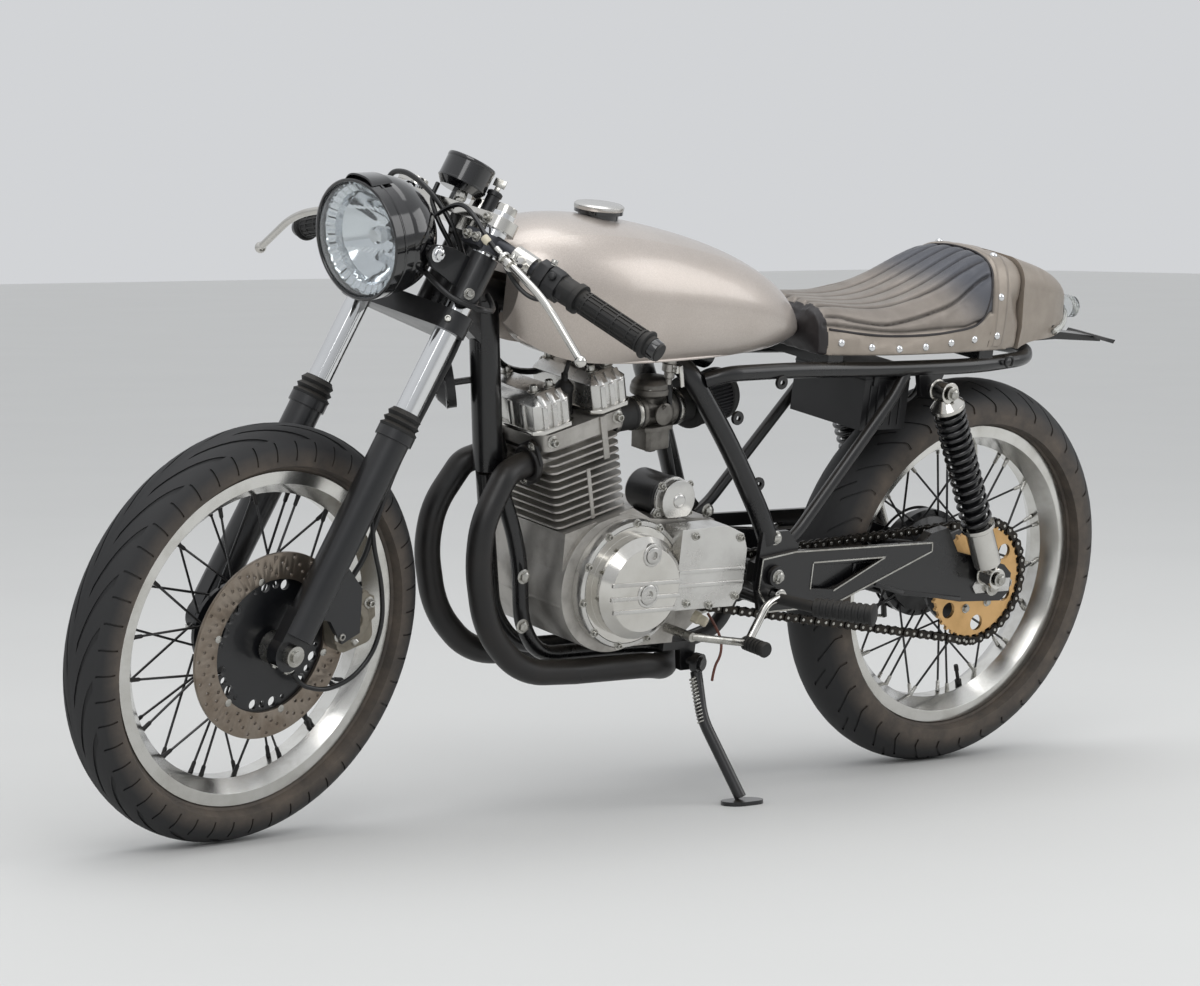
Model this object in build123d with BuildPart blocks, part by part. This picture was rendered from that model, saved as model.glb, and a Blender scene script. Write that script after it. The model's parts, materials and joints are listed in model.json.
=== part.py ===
from build123d import *
import os
from math import asin, atan2, cos, degrees, pi, radians, sin, tan

os.makedirs("parts", exist_ok=True)

# Cafe racer motorcycle with one cylinder, wire wheels and a side stand.
# Frame and engine are drawn upright, +X forwards from the rear axle, +Y to the rider's left, +Z up
# from the ground. Forks and bars are drawn in the steering frame: z up the steering axis, x forwards.
# Everything is leaned onto the side stand at the end.

# Stance
WHEELBASE = 1360
RAKE = 26
FORK_OFFSET = 46
STEERED_LEFT = 6.1
LEAN = 10

# Fits
BEARING_GAP = 0.3
SEAT_GAP = 0.2
BRAKE_GAP = 1.5

# Wheels and tyres
RIM_SEAT_RADIUS = 228.5
RIM_FLANGE_RADIUS = 243
RIM_WALL = 3.5
RIM_WELL_RADIUS = 208
RIM_WELL_HALF = 11
SPOKE_RADIUS = 1.9
SPOKES_A_SIDE = 18
SPOKE_SWEEP = 34
SPOKE_STAGGER = 3.2
AXLE_RADIUS = 8.5
FRONT_TYRE_RADIUS = 303
FRONT_TYRE_WIDTH = 90
FRONT_RIM_WIDTH = 60
FRONT_HUB_HALF = 36
FRONT_FLANGE_RADIUS = 66
REAR_TYRE_RADIUS = 313
REAR_TYRE_WIDTH = 115
REAR_RIM_WIDTH = 74
REAR_HUB_HALF = 44
REAR_FLANGE_RADIUS = 78
REAR_DRUM_RADIUS = 88
HUB_BARREL_RADIUS = 30
FLANGE_THICKNESS = 6

# Front brake
DISC_RADIUS = 135
DISC_INNER_RADIUS = 97
DISC_THICKNESS = 5
DISC_OFFSET = 56
CARRIER_HOLE_REACH = 87
# Lightening holes of the disc carrier, six of each: turn in degrees, radius
CARRIER_HOLES = [(-21, 3.5), (-9, 7.5), (3, 5.5), (14, 7.5)]
CALIPER_ANGLE = 139
CALIPER_REACH = 126
CALIPER_LENGTH = 82
CALIPER_DEPTH = 66
CALIPER_HALF_WIDTH = 20

# Chain drive
CHAIN_PITCH = 15.875
ROLLER_RADIUS = 5.08
CHAIN_OFFSET = 75
CHAIN_INNER_HALF = 4.2
CHAIN_PLATE_THICKNESS = 2.4
CHAIN_PLATE_HEIGHT = 14.5
REAR_TEETH = 39
DRIVE_TEETH = 15
SPROCKET_THICKNESS = 5.8
SPROCKET_WINDOW_REACH = 70
SPROCKET_WINDOW_RADIUS = 13
OUTPUT_SHAFT = (565, 345)

# Forks, yokes and steering head
LEG_SPREAD = 93
TUBE_RADIUS = 17.5
SLIDER_RADIUS = 24.5
SLIDER_TOP = 342
SLIDER_FOOT = -26
BOOT_HEIGHT = 30
BOTTOM_YOKE_HEIGHT = 512
YOKE_THICKNESS = 30
TOP_YOKE_HEIGHT = 664
TOP_YOKE_THICKNESS = 18
YOKE_CLAMP_WALL = 9
STEM_RADIUS = 13
HEAD_TUBE_RADIUS = 27
HEAD_TUBE_WALL = 5
HEAD_TUBE_LOW = 535
HEAD_TUBE_HIGH = 645
EAR_LOW = 545
EAR_HIGH = 615

# Handlebars
CLIP_ON_HEIGHT = 632
BAR_RADIUS = 11
GRIP_RADIUS = 16
GRIP_LENGTH = 128
BAR_END = Vector(-49, 367, 588)
LEVER_BALL = Vector(36, 338, 523)
LEVER_KNEE = Vector(74, 262, 580)
RESERVOIR_AT = Vector(0, -150, 668)
MASTER_PORT = Vector(62, -152, 640)
MASTER_DIRECTION = Vector(-8, 31, 24)
DRIVE_BOSS = Vector(4, 72, -18)

# Headlamp and speedometer
LAMP_RADIUS = 86
LAMP_DEPTH = 112
LAMP_FACE = (190, 552)
LAMP_DIP = 8
GAUGE_RADIUS = 36
GAUGE_DEPTH = 46
GAUGE_FORWARD = 56

# Frame
SPINE_RADIUS = 22
DOWNTUBE_RADIUS = 22
SPINE_END = 560
CRADLE_RADIUS = 12
CRADLE_SPREAD = 26
CROSS_TUBE_RADIUS = 9
UPRIGHT_RADIUS = 16
RAIL_RADIUS = 12
RAIL_SPREAD = 92
RAIL_HEIGHT = 667
STAY_RADIUS = 9
PIVOT_AT = (478, 362)
PIVOT_BOLT_RADIUS = 9
PIVOT_TUBE_RADIUS = 13
ARM_SPREAD = 96
ARM_WIDTH = 18
PANEL_FACE = 62.5

# Shock absorbers
SHOCK_SPREAD = 129
SHOCK_TOP = (179, 637)
SHOCK_FOOT = (22, 334)
SHOCK_EYE_RADIUS = 15
SHOCK_PIN_RADIUS = 7
SPRING_FROM = 30
SPRING_TO = 243
SPRING_RADIUS = 27
SPRING_COILS = 9
SHOCK_BODY_RADIUS = 22

# Engine
CYLINDER_TILT = 15
CYLINDER_FOOT = (812, 456)
CYLINDER_FINS = 7
HEAD_FINS = 3
FIN_PITCH = 12
FIN_THICKNESS = 3
FIN_HALF_LENGTH = 65
FIN_HALF_WIDTH = 80
HEAD_HIGH = 150
COVER_HEIGHT = 62
PORT_SPREAD = 42
PORT_HEIGHT = 104
INTAKE_OFFSET = 20
INTAKE_HEIGHT = 118
STARTER_AT = (666, 481)
CRANK_AT = (768, 362)
CRANK_RADIUS = 104
CASE_HALF_WIDTH = 98
COVER_AT = (756, 364)
COVER_RADIUS = 77
COVER_FACE = 150
SPROCKET_COVER_FACE = 138
CLUTCH_COVER_FACE = 146
HEADER_RADIUS = 19
HEADER_SPREAD = 62
MUFFLER_RADIUS = 32
CARBURETTOR_AT = Vector(655, 20, 604)
FILTER_RADIUS = 38

# Tank and seat
HORN_AT = Vector(1010, -30, 643)
HORN_DIRECTION = Vector(25, -16, -7)
TANK_WALL = 2
TANK_REAR = 425
TUNNEL_HALF = 40
SEAT_BASE = 692
SEAT_FRONT = 418
SEAT_REAR = -5
TAIL_END = -173
FILLER_AT = 800
FILLER_RADIUS = 30

# Side stand
STAND_PIVOT = Vector(580, 86, 224)
STAND_FOOT_X = 559
STAND_FOOT_Y = 198
STAND_SPLAY = 20
STAND_LEG_RADIUS = 9
STAND_PIN_RADIUS = 6
STAND_SINK = 0.8

# Routes of the front brake hose and the speedometer cable, in the steering frame
BRAKE_HOSE = [
    (-30, 64, 134), (-34, 66, 170), (-20, 68, 222), (-8, 69, 290), (-5, 70, 352),
    (-6, 71, 416), (-9, 70, 478),
    (-7, 67, 536), (14, 60, 582), (46, 48, 614), (76, 30, 644), (88, 0, 664), (92, -40, 679),
    (88, -82, 687),
    (78, -118, 682), (57.1, -133.1, 654.7), (61.9, -151.7, 640.3),
]
SPEEDOMETER_CABLE = [
    (0, 72.3, -20), (-24, 76, -30), (-66, 79, -22), (-102, 82, 10), (-116, 84, 56), (-106, 82, 104),
    (-74, 78, 150), (-30, 74, 190), (-8, 58, 240), (-6, 55, 300), (-8, 56, 360),
    (-12, 57, 420), (-14, 56, 480),
    (-10, 53, 536), (16, 46, 580), (52, 38, 610), (82, 16, 636), (86, -12, 662), (79, -20, 687),
]

front_axle_height = FRONT_TYRE_RADIUS
steering_axis = Vector(-sin(radians(RAKE)), 0, cos(radians(RAKE)))
steering_normal = Vector(cos(radians(RAKE)), 0, sin(radians(RAKE)))
steering_foot = Vector(WHEELBASE, 0, front_axle_height) - steering_normal * FORK_OFFSET
steering_plane = Plane(origin=steering_foot, x_dir=steering_normal, z_dir=steering_axis)
steering_place = steering_plane.location * Rot(0, 0, STEERED_LEFT)
front_wheel_place = steering_place * Pos(FORK_OFFSET, 0, 0)
rear_wheel_place = Pos(0, 0, REAR_TYRE_RADIUS)
engine_lean = radians(CYLINDER_TILT)
cylinder_plane = Plane(
    origin=(CYLINDER_FOOT[0], 0, CYLINDER_FOOT[1]),
    x_dir=(cos(engine_lean), 0, -sin(engine_lean)), z_dir=(sin(engine_lean), 0, cos(engine_lean)),
)
stand_axis = Vector(-sin(radians(STAND_SPLAY)), cos(radians(STAND_SPLAY)), 0)
caliper_outer = DISC_OFFSET + CALIPER_HALF_WIDTH + 10


# Place measured along the leaning cylinder: forwards, left and up from the crankcase deck.
def on_engine(x, y, z):
    return cylinder_plane.from_local_coords(Vector(x, y, z))


# Adds a straight round rod between two points to the part being built.
def rod(start, end, radius, mode=Mode.ADD):
    start, end = Vector(*start), Vector(*end)
    with BuildSketch(Plane(origin=start, z_dir=end - start)) as section:
        Circle(radius)
    extrude(section.sketch, amount=(end - start).length, mode=mode)


# Radii that make each corner of a route as round as its shorter run allows.
def corner_radii(points, share=0.45):
    radii = []
    for before, at, after in zip(points, points[1:], points[2:]):
        arriving, leaving = Vector(*at) - Vector(*before), Vector(*after) - Vector(*at)
        turn = radians(arriving.get_angle(leaving))
        radii.append(share * min(arriving.length, leaving.length) / tan(turn / 2))
    return radii


# Adds a bent round tube along a route of points to the part being built.
def bent_tube(points, radius, share=0.45, mode=Mode.ADD):
    with BuildLine() as route:
        FilletPolyline(*points, radius=corner_radii(points, share))
    with BuildSketch(Plane(origin=route.line @ 0, z_dir=route.line % 0)) as section:
        Circle(radius)
    sweep(section.sketch, path=route.line, mode=mode)


# Adds a slab with the outline given in X and Z, from one Y to another.
def side_slab(points, y_from, y_to, mode=Mode.ADD):
    with BuildSketch(Plane.XZ.offset(-y_from)) as outline:
        with BuildLine():
            Polyline(*points, close=True)
        make_face()
    extrude(outline.sketch, amount=y_from - y_to, mode=mode)


# Adds a disc lying across Y at a place in X and Z.
def side_disc(centre, radius, y_from, y_to, mode=Mode.ADD):
    with BuildSketch(Plane.XZ.offset(-y_from)) as outline:
        with Locations(centre):
            Circle(radius)
    extrude(outline.sketch, amount=y_from - y_to, mode=mode)


# Adds a disc lying level at a place in X and Y, from one height to another.
def level_disc(centre, radius, z_from, z_to, mode=Mode.ADD):
    with BuildSketch(Plane.XY.offset(z_from)) as outline:
        with Locations(centre):
            Circle(radius)
    extrude(outline.sketch, amount=z_to - z_from, mode=mode)


# Adds a body of revolution about a plane's normal from points in radius and height.
def spun(points, plane):
    side = Plane(origin=plane.origin, x_dir=plane.x_dir, z_dir=-plane.y_dir)
    with BuildSketch(side) as outline:
        with BuildLine():
            Polyline(*points, close=True)
        make_face()
    revolve(outline.sketch, Axis(plane.origin, plane.z_dir))


# Adds the plate of a yoke that joins both fork legs and the stem.
def yoke_slab(low, thickness, stem_wall):
    with BuildSketch(Plane.XY.offset(low)) as outline:
        with Locations((FORK_OFFSET, LEG_SPREAD), (FORK_OFFSET, -LEG_SPREAD)):
            Circle(TUBE_RADIUS + YOKE_CLAMP_WALL)
        Circle(stem_wall)
        make_hull()
    extrude(outline.sketch, amount=thickness)


# Adds a body of revolution about Y from points in Y and radius.
def turned(points):
    with BuildSketch(Plane.YZ) as outline:
        with BuildLine():
            Polyline(*points, close=True)
        make_face()
    revolve(outline.sketch, Axis.Y)


# Tyre: a round crown, bulged walls and beads that fill the space between the rim's flanges.
def make_tyre(outer_radius, width, rim_width):
    half = width / 2
    bead = rim_width / 2 - RIM_WALL - SEAT_GAP
    shoulder = (0.95 * half, outer_radius - 0.6 * half)
    wall = (half, outer_radius - 0.98 * half)
    flange = (bead + 2, RIM_FLANGE_RADIUS + 1)
    toe = (bead, RIM_FLANGE_RADIUS + 1)
    heel = (bead, RIM_SEAT_RADIUS + SEAT_GAP)
    with BuildPart() as tyre:
        with BuildSketch(Plane.YZ):
            with BuildLine():
                ThreePointArc((-shoulder[0], shoulder[1]), (0, outer_radius), shoulder)
                Polyline(shoulder, wall, flange, toe, heel, (-heel[0], heel[1]))
                Polyline(
                    (-heel[0], heel[1]), (-toe[0], toe[1]), (-flange[0], flange[1]),
                    (-wall[0], wall[1]), (-shoulder[0], shoulder[1]),
                )
            make_face()
        revolve(axis=Axis.Y)
    return tyre


# Rim: two flanges, bead seats and a drop centre towards the hub.
def make_rim(rim_width):
    half = rim_width / 2
    seat = half - RIM_WALL
    with BuildPart() as rim:
        turned([
            (half, RIM_FLANGE_RADIUS), (half, RIM_SEAT_RADIUS - RIM_WALL),
            (RIM_WELL_HALF, RIM_WELL_RADIUS), (-RIM_WELL_HALF, RIM_WELL_RADIUS),
            (-half, RIM_SEAT_RADIUS - RIM_WALL), (-half, RIM_FLANGE_RADIUS),
            (-seat, RIM_FLANGE_RADIUS), (-seat, RIM_SEAT_RADIUS),
            (seat, RIM_SEAT_RADIUS), (seat, RIM_FLANGE_RADIUS),
        ])
    return rim


# Adds wire spokes from the rims of both hub flanges to the well, crossing in pairs.
def lace_spokes(flange_offset, flange_radius):
    rim_end = RIM_WELL_RADIUS - SEAT_GAP - 0.5
    hub_end = flange_radius + SEAT_GAP + 0.7 * SPOKE_RADIUS
    step = 360 / (SPOKES_A_SIDE / 2)
    for side in (1, -1):
        for index in range(SPOKES_A_SIDE):
            lean = 1 if index % 2 else -1
            base = radians((index // 2) * step + (step / 4 if side > 0 else -step / 4))
            at_hub = base + lean * radians(step / 4 - 3)
            at_rim = at_hub + lean * radians(SPOKE_SWEEP) * 0.72
            hub_y = side * flange_offset + lean * SPOKE_STAGGER * 0.5
            rim_y = side * RIM_WELL_HALF * 0.5
            start = Vector(hub_end * cos(at_hub), hub_y, hub_end * sin(at_hub))
            end = Vector(rim_end * cos(at_rim), rim_y, rim_end * sin(at_rim))
            with BuildSketch(Plane(origin=start, z_dir=end - start)) as section:
                RegularPolygon(SPOKE_RADIUS, 6)
            extrude(section.sketch, amount=(end - start).length)


# Front wheel, drawn about its own axle
front_tyre = make_tyre(FRONT_TYRE_RADIUS, FRONT_TYRE_WIDTH, FRONT_RIM_WIDTH)
front_rim = make_rim(FRONT_RIM_WIDTH)
carrier_face = DISC_OFFSET - DISC_THICKNESS / 2

with BuildPart() as front_hub:
    turned([
        (-FRONT_HUB_HALF - 10, AXLE_RADIUS + BEARING_GAP),
        (-FRONT_HUB_HALF - 10, HUB_BARREL_RADIUS),
        (-FRONT_HUB_HALF, HUB_BARREL_RADIUS),
        (-FRONT_HUB_HALF, FRONT_FLANGE_RADIUS),
        (-FRONT_HUB_HALF + FLANGE_THICKNESS, FRONT_FLANGE_RADIUS),
        (-FRONT_HUB_HALF + 2 * FLANGE_THICKNESS, HUB_BARREL_RADIUS),
        (FRONT_HUB_HALF - 2 * FLANGE_THICKNESS, HUB_BARREL_RADIUS),
        (FRONT_HUB_HALF - FLANGE_THICKNESS, FRONT_FLANGE_RADIUS),
        (FRONT_HUB_HALF, FRONT_FLANGE_RADIUS),
        (carrier_face - FLANGE_THICKNESS, HUB_BARREL_RADIUS + 14),
        (carrier_face - FLANGE_THICKNESS, DISC_INNER_RADIUS + 6),
        (carrier_face - SEAT_GAP, DISC_INNER_RADIUS + 6),
        (carrier_face - SEAT_GAP, HUB_BARREL_RADIUS),
        (carrier_face - SEAT_GAP, AXLE_RADIUS + BEARING_GAP),
    ])
    for turn, radius in CARRIER_HOLES:
        with BuildSketch(Plane.XZ.offset(FLANGE_THICKNESS - carrier_face)) as holes:
            with PolarLocations(CARRIER_HOLE_REACH, 6, start_angle=turn):
                Circle(radius)
        extrude(holes.sketch, amount=-FLANGE_THICKNESS, mode=Mode.SUBTRACT)
    lace_spokes(FRONT_HUB_HALF - FLANGE_THICKNESS / 2, FRONT_FLANGE_RADIUS)

with BuildPart() as front_disc:
    turned([
        (carrier_face, DISC_INNER_RADIUS), (carrier_face, DISC_RADIUS),
        (carrier_face + DISC_THICKNESS, DISC_RADIUS),
        (carrier_face + DISC_THICKNESS, DISC_INNER_RADIUS),
    ])

# Rear wheel, drawn about its own axle
rear_tyre = make_tyre(REAR_TYRE_RADIUS, REAR_TYRE_WIDTH, REAR_RIM_WIDTH)
rear_rim = make_rim(REAR_RIM_WIDTH)
rear_pitch_radius = CHAIN_PITCH / (2 * sin(pi / REAR_TEETH))
drive_pitch_radius = CHAIN_PITCH / (2 * sin(pi / DRIVE_TEETH))
sprocket_inner_face = CHAIN_OFFSET - SPROCKET_THICKNESS / 2

with BuildPart() as rear_hub:
    turned([
        (-REAR_HUB_HALF - 18, AXLE_RADIUS + BEARING_GAP),
        (-REAR_HUB_HALF - 18, REAR_DRUM_RADIUS - 8),
        (-REAR_HUB_HALF - 12, REAR_DRUM_RADIUS),
        (-REAR_HUB_HALF, REAR_DRUM_RADIUS),
        (-REAR_HUB_HALF, REAR_FLANGE_RADIUS),
        (-REAR_HUB_HALF + FLANGE_THICKNESS, REAR_FLANGE_RADIUS),
        (-REAR_HUB_HALF + 4 * FLANGE_THICKNESS, HUB_BARREL_RADIUS + 8),
        (REAR_HUB_HALF - 2 * FLANGE_THICKNESS, HUB_BARREL_RADIUS + 8),
        (REAR_HUB_HALF - FLANGE_THICKNESS, REAR_FLANGE_RADIUS),
        (REAR_HUB_HALF, REAR_FLANGE_RADIUS),
        (sprocket_inner_face - SEAT_GAP, HUB_BARREL_RADIUS + 26),
        (sprocket_inner_face - SEAT_GAP, AXLE_RADIUS + BEARING_GAP),
    ])
    lace_spokes(REAR_HUB_HALF - FLANGE_THICKNESS / 2, REAR_FLANGE_RADIUS)

sprocket_tip_radius = rear_pitch_radius - ROLLER_RADIUS - 0.6
sprocket_root_radius = sprocket_tip_radius - 4
with BuildPart() as rear_sprocket:
    side_disc((0, 0), sprocket_root_radius, sprocket_inner_face, sprocket_inner_face + SPROCKET_THICKNESS)
    with BuildSketch(Plane.XZ.offset(-sprocket_inner_face)) as teeth:
        with PolarLocations(sprocket_root_radius, REAR_TEETH):
            Trapezoid(9, 8, 70, align=(Align.CENTER, Align.CENTER), rotation=-90)
    extrude(teeth.sketch, amount=-SPROCKET_THICKNESS)
    with BuildSketch(Plane.XZ.offset(-sprocket_inner_face)) as windows:
        with PolarLocations(SPROCKET_WINDOW_REACH, 6, start_angle=20):
            Circle(SPROCKET_WINDOW_RADIUS)
    extrude(windows.sketch, amount=-SPROCKET_THICKNESS, mode=Mode.SUBTRACT)
    side_disc(
        (0, 0), AXLE_RADIUS + BEARING_GAP + 10, sprocket_inner_face,
        sprocket_inner_face + SPROCKET_THICKNESS, Mode.SUBTRACT,
    )


# Drive chain: one closed loop of rollers between inner plates, with an outer plate on every second link
axle_at = Vector(0, REAR_TYRE_RADIUS)
shaft_at = Vector(*OUTPUT_SHAFT)
between = shaft_at - axle_at
run_angle = atan2(between.Y, between.X)
wrap = asin((rear_pitch_radius - drive_pitch_radius) / between.length)
run_length = between.length * cos(wrap)
rear_arc = rear_pitch_radius * (pi + 2 * wrap)
drive_arc = drive_pitch_radius * (pi - 2 * wrap)
loop_length = 2 * run_length + rear_arc + drive_arc
link_pairs = round(loop_length / CHAIN_PITCH / 2)
link_pitch = loop_length / (2 * link_pairs)


# Place on the chain's pitch line at a distance from the front end of the top run.
def chain_pin(distance):
    distance = distance % loop_length
    top = run_angle + pi / 2 + wrap
    back = Vector(cos(top), sin(top))
    if distance < run_length:
        start = shaft_at + back * drive_pitch_radius
        end = axle_at + back * rear_pitch_radius
        return start + (end - start) * (distance / run_length)
    distance -= run_length
    if distance < rear_arc:
        angle = top + distance / rear_pitch_radius
        return axle_at + Vector(cos(angle), sin(angle)) * rear_pitch_radius
    distance -= rear_arc
    low = run_angle - pi / 2 - wrap
    down = Vector(cos(low), sin(low))
    if distance < run_length:
        start = axle_at + down * rear_pitch_radius
        end = shaft_at + down * drive_pitch_radius
        return start + (end - start) * (distance / run_length)
    angle = low + (distance - run_length) / drive_pitch_radius
    return shaft_at + Vector(cos(angle), sin(angle)) * drive_pitch_radius


# Outline of a belt round both sprockets, a distance out from the pitch line.
def belt_outline(grow):
    with BuildSketch(Plane.XZ) as belt:
        with Locations((axle_at.X, axle_at.Y)):
            Circle(rear_pitch_radius + grow)
        with Locations((shaft_at.X, shaft_at.Y)):
            Circle(drive_pitch_radius + grow)
        make_hull()
    return belt.sketch


roller_loop = belt_outline(ROLLER_RADIUS) - belt_outline(-ROLLER_RADIUS)
with BuildPart() as drive_chain:
    extrude(Pos(0, CHAIN_OFFSET, 0) * roller_loop, amount=CHAIN_INNER_HALF, both=True)
    for link in range(link_pairs):
        near = chain_pin(2 * link * link_pitch)
        far = chain_pin((2 * link + 1) * link_pitch)
        tilt = degrees(atan2(far.Y - near.Y, far.X - near.X))
        middle = (near + far) / 2
        for side in (-1, 1):
            face = CHAIN_OFFSET + side * CHAIN_INNER_HALF
            with BuildSketch(Plane.XZ.offset(-face)) as plate:
                with Locations((middle.X, middle.Y)):
                    Rectangle(link_pitch + 8, CHAIN_PLATE_HEIGHT, rotation=tilt)
            extrude(plate.sketch, amount=-side * CHAIN_PLATE_THICKNESS)
    side_disc(
        OUTPUT_SHAFT, drive_pitch_radius - ROLLER_RADIUS - SEAT_GAP,
        sprocket_inner_face, sprocket_inner_face + SPROCKET_THICKNESS,
    )


# Front suspension: chromed tubes, black sliders with a foot round the axle, and rubber boots
boot_top = SLIDER_TOP + BOOT_HEIGHT
top_yoke_low = TOP_YOKE_HEIGHT - TOP_YOKE_THICKNESS / 2
top_yoke_high = TOP_YOKE_HEIGHT + TOP_YOKE_THICKNESS / 2
bottom_yoke_low = BOTTOM_YOKE_HEIGHT - YOKE_THICKNESS / 2
bottom_yoke_high = BOTTOM_YOKE_HEIGHT + YOKE_THICKNESS / 2
tube_bore = TUBE_RADIUS + SEAT_GAP
leg_centres = [(FORK_OFFSET, LEG_SPREAD), (FORK_OFFSET, -LEG_SPREAD)]
foot_inner = LEG_SPREAD - 14
foot_outer = LEG_SPREAD + 6

with BuildPart() as fork_tubes:
    for centre in leg_centres:
        level_disc(centre, TUBE_RADIUS, SLIDER_TOP + SEAT_GAP, top_yoke_high + 8)
        level_disc(centre, TUBE_RADIUS - 4, top_yoke_high + 8, top_yoke_high + 18)

with BuildPart() as fork_sliders:
    for centre in leg_centres:
        level_disc(centre, SLIDER_RADIUS, 24, SLIDER_TOP)
        level_disc(centre, SLIDER_RADIUS + 3, SLIDER_TOP - 14, SLIDER_TOP)
    for side in (1, -1):
        side_disc((FORK_OFFSET, 0), -SLIDER_FOOT, side * foot_inner, side * foot_outer)
        side_slab([
            (FORK_OFFSET - SLIDER_RADIUS, 0), (FORK_OFFSET + SLIDER_RADIUS, 0),
            (FORK_OFFSET + SLIDER_RADIUS, 60), (FORK_OFFSET - SLIDER_RADIUS, 60),
        ], side * foot_inner, side * foot_outer)
        side_disc(
            (FORK_OFFSET, 0), AXLE_RADIUS + SEAT_GAP, side * foot_inner, side * foot_outer, Mode.SUBTRACT,
        )
    side_slab([
        (FORK_OFFSET - 16, 150), (-28, 128), (-62, 72), (-40, 46), (0, 66), (FORK_OFFSET - 16, 60),
    ], caliper_outer + SEAT_GAP, caliper_outer + SEAT_GAP + 9)

with BuildPart() as fork_boots:
    for centre in leg_centres:
        leg_plane = Plane(origin=(*centre, SLIDER_TOP + SEAT_GAP))
        rib = BOOT_HEIGHT / 3
        spun([
            (tube_bore, 0), (27, 0), (28, 0.4 * rib), (23, 0.8 * rib), (27, 1.3 * rib), (22, 1.8 * rib),
            (25, 2.3 * rib), (21, 2.8 * rib), (20, 3 * rib), (tube_bore, 3 * rib),
        ], leg_plane)

with BuildPart() as bottom_yoke:
    yoke_slab(bottom_yoke_low, YOKE_THICKNESS, STEM_RADIUS + 13)
    for centre in leg_centres:
        level_disc(centre, tube_bore, bottom_yoke_low, bottom_yoke_high, Mode.SUBTRACT)
    level_disc((0, 0), HEAD_TUBE_RADIUS - 3, bottom_yoke_high, HEAD_TUBE_LOW - BEARING_GAP)
    level_disc((0, 0), STEM_RADIUS, bottom_yoke_high, top_yoke_high + 4)

with BuildPart() as top_yoke:
    yoke_slab(top_yoke_low, TOP_YOKE_THICKNESS, STEM_RADIUS + 13)
    for centre in leg_centres:
        level_disc(centre, tube_bore, top_yoke_low, top_yoke_high, Mode.SUBTRACT)
    level_disc((0, 0), HEAD_TUBE_RADIUS - 3, HEAD_TUBE_HIGH + BEARING_GAP, top_yoke_low)
    with BuildSketch(Plane.XY.offset(top_yoke_high)):
        RegularPolygon(STEM_RADIUS + 6, 6)
    extrude(amount=26)
    level_disc(
        (0, 0), STEM_RADIUS + SEAT_GAP, HEAD_TUBE_HIGH, top_yoke_high + 4 + SEAT_GAP, Mode.SUBTRACT,
    )

# Headlamp: a deep bowl hung between two ears that clamp the fork tubes, dipped a little below level
lamp_slope = radians(RAKE + LAMP_DIP)
lamp_forward = Vector(cos(lamp_slope), 0, -sin(lamp_slope))
lamp_back = Vector(LAMP_FACE[0], 0, LAMP_FACE[1]) - lamp_forward * LAMP_DEPTH
lamp_plane = Plane(origin=lamp_back, x_dir=(0, 1, 0), z_dir=lamp_forward)
ear_face = LAMP_RADIUS + 2

with BuildPart() as headlight_brackets:
    for centre in leg_centres:
        level_disc(centre, TUBE_RADIUS + 4.5, EAR_LOW, EAR_HIGH)
    for side in (1, -1):
        side_slab([
            (FORK_OFFSET, 556), (FORK_OFFSET, 604), (104, 602), (138, 592), (142, 572),
            (126, 562), (96, 560),
        ], side * ear_face, side * (ear_face + 5))
    for centre in leg_centres:
        level_disc(centre, tube_bore, EAR_LOW, EAR_HIGH, Mode.SUBTRACT)

with BuildPart() as headlight_shell:
    with BuildSketch(Plane(origin=lamp_back, x_dir=(0, 1, 0), z_dir=lamp_plane.x_dir.cross(lamp_forward))):
        with BuildLine():
            Line((0, 0), (24, 0))
            ThreePointArc((24, 0), (68, 24), (LAMP_RADIUS - 3, 76))
            Polyline(
                (LAMP_RADIUS - 3, 76), (LAMP_RADIUS - 3, 96), (LAMP_RADIUS, 98),
                (LAMP_RADIUS, LAMP_DEPTH),
                (LAMP_RADIUS - 5, LAMP_DEPTH), (LAMP_RADIUS - 5, 80),
            )
            ThreePointArc((LAMP_RADIUS - 5, 80), (64, 27), (22, 4))
            Polyline((22, 4), (0, 4), (0, 0))
        make_face()
    revolve(axis=Axis(lamp_back, lamp_forward))
    for side in (1, -1):
        side_disc((128, 582), 9, side * (LAMP_RADIUS - 12), side * (ear_face - SEAT_GAP))

with BuildPart() as headlight_lens:
    spun([
        (0, LAMP_DEPTH - 16), (LAMP_RADIUS - 5 - SEAT_GAP, LAMP_DEPTH - 16),
        (LAMP_RADIUS - 5 - SEAT_GAP, LAMP_DEPTH - 3), (LAMP_RADIUS - 20, LAMP_DEPTH + 2),
        (0, LAMP_DEPTH + 6),
    ], lamp_plane)

gauge_low = top_yoke_high + 17
with BuildPart() as speedometer:
    gauge_plane = Plane(origin=(GAUGE_FORWARD, 0, gauge_low))
    spun([
        (0, top_yoke_high - gauge_low + SEAT_GAP), (8, top_yoke_high - gauge_low + SEAT_GAP), (8, 0),
        (GAUGE_RADIUS - 8, 0), (GAUGE_RADIUS, 10), (GAUGE_RADIUS, GAUGE_DEPTH),
        (GAUGE_RADIUS - 4, GAUGE_DEPTH), (GAUGE_RADIUS - 4, GAUGE_DEPTH - 4), (0, GAUGE_DEPTH - 4),
    ], gauge_plane)

# Handlebars: each bar is clamped to its fork tube between the yokes
bar_root = Vector(FORK_OFFSET + 4, LEG_SPREAD + 13, CLIP_ON_HEIGHT + 5)
bar_run = BAR_END - bar_root


# Place along the left bar, from 0 at its clamp to 1 at its end, mirrored for the right bar.
def on_bar(share, side):
    place = bar_root + bar_run * share
    return Vector(place.X, side * place.Y, place.Z)


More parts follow.
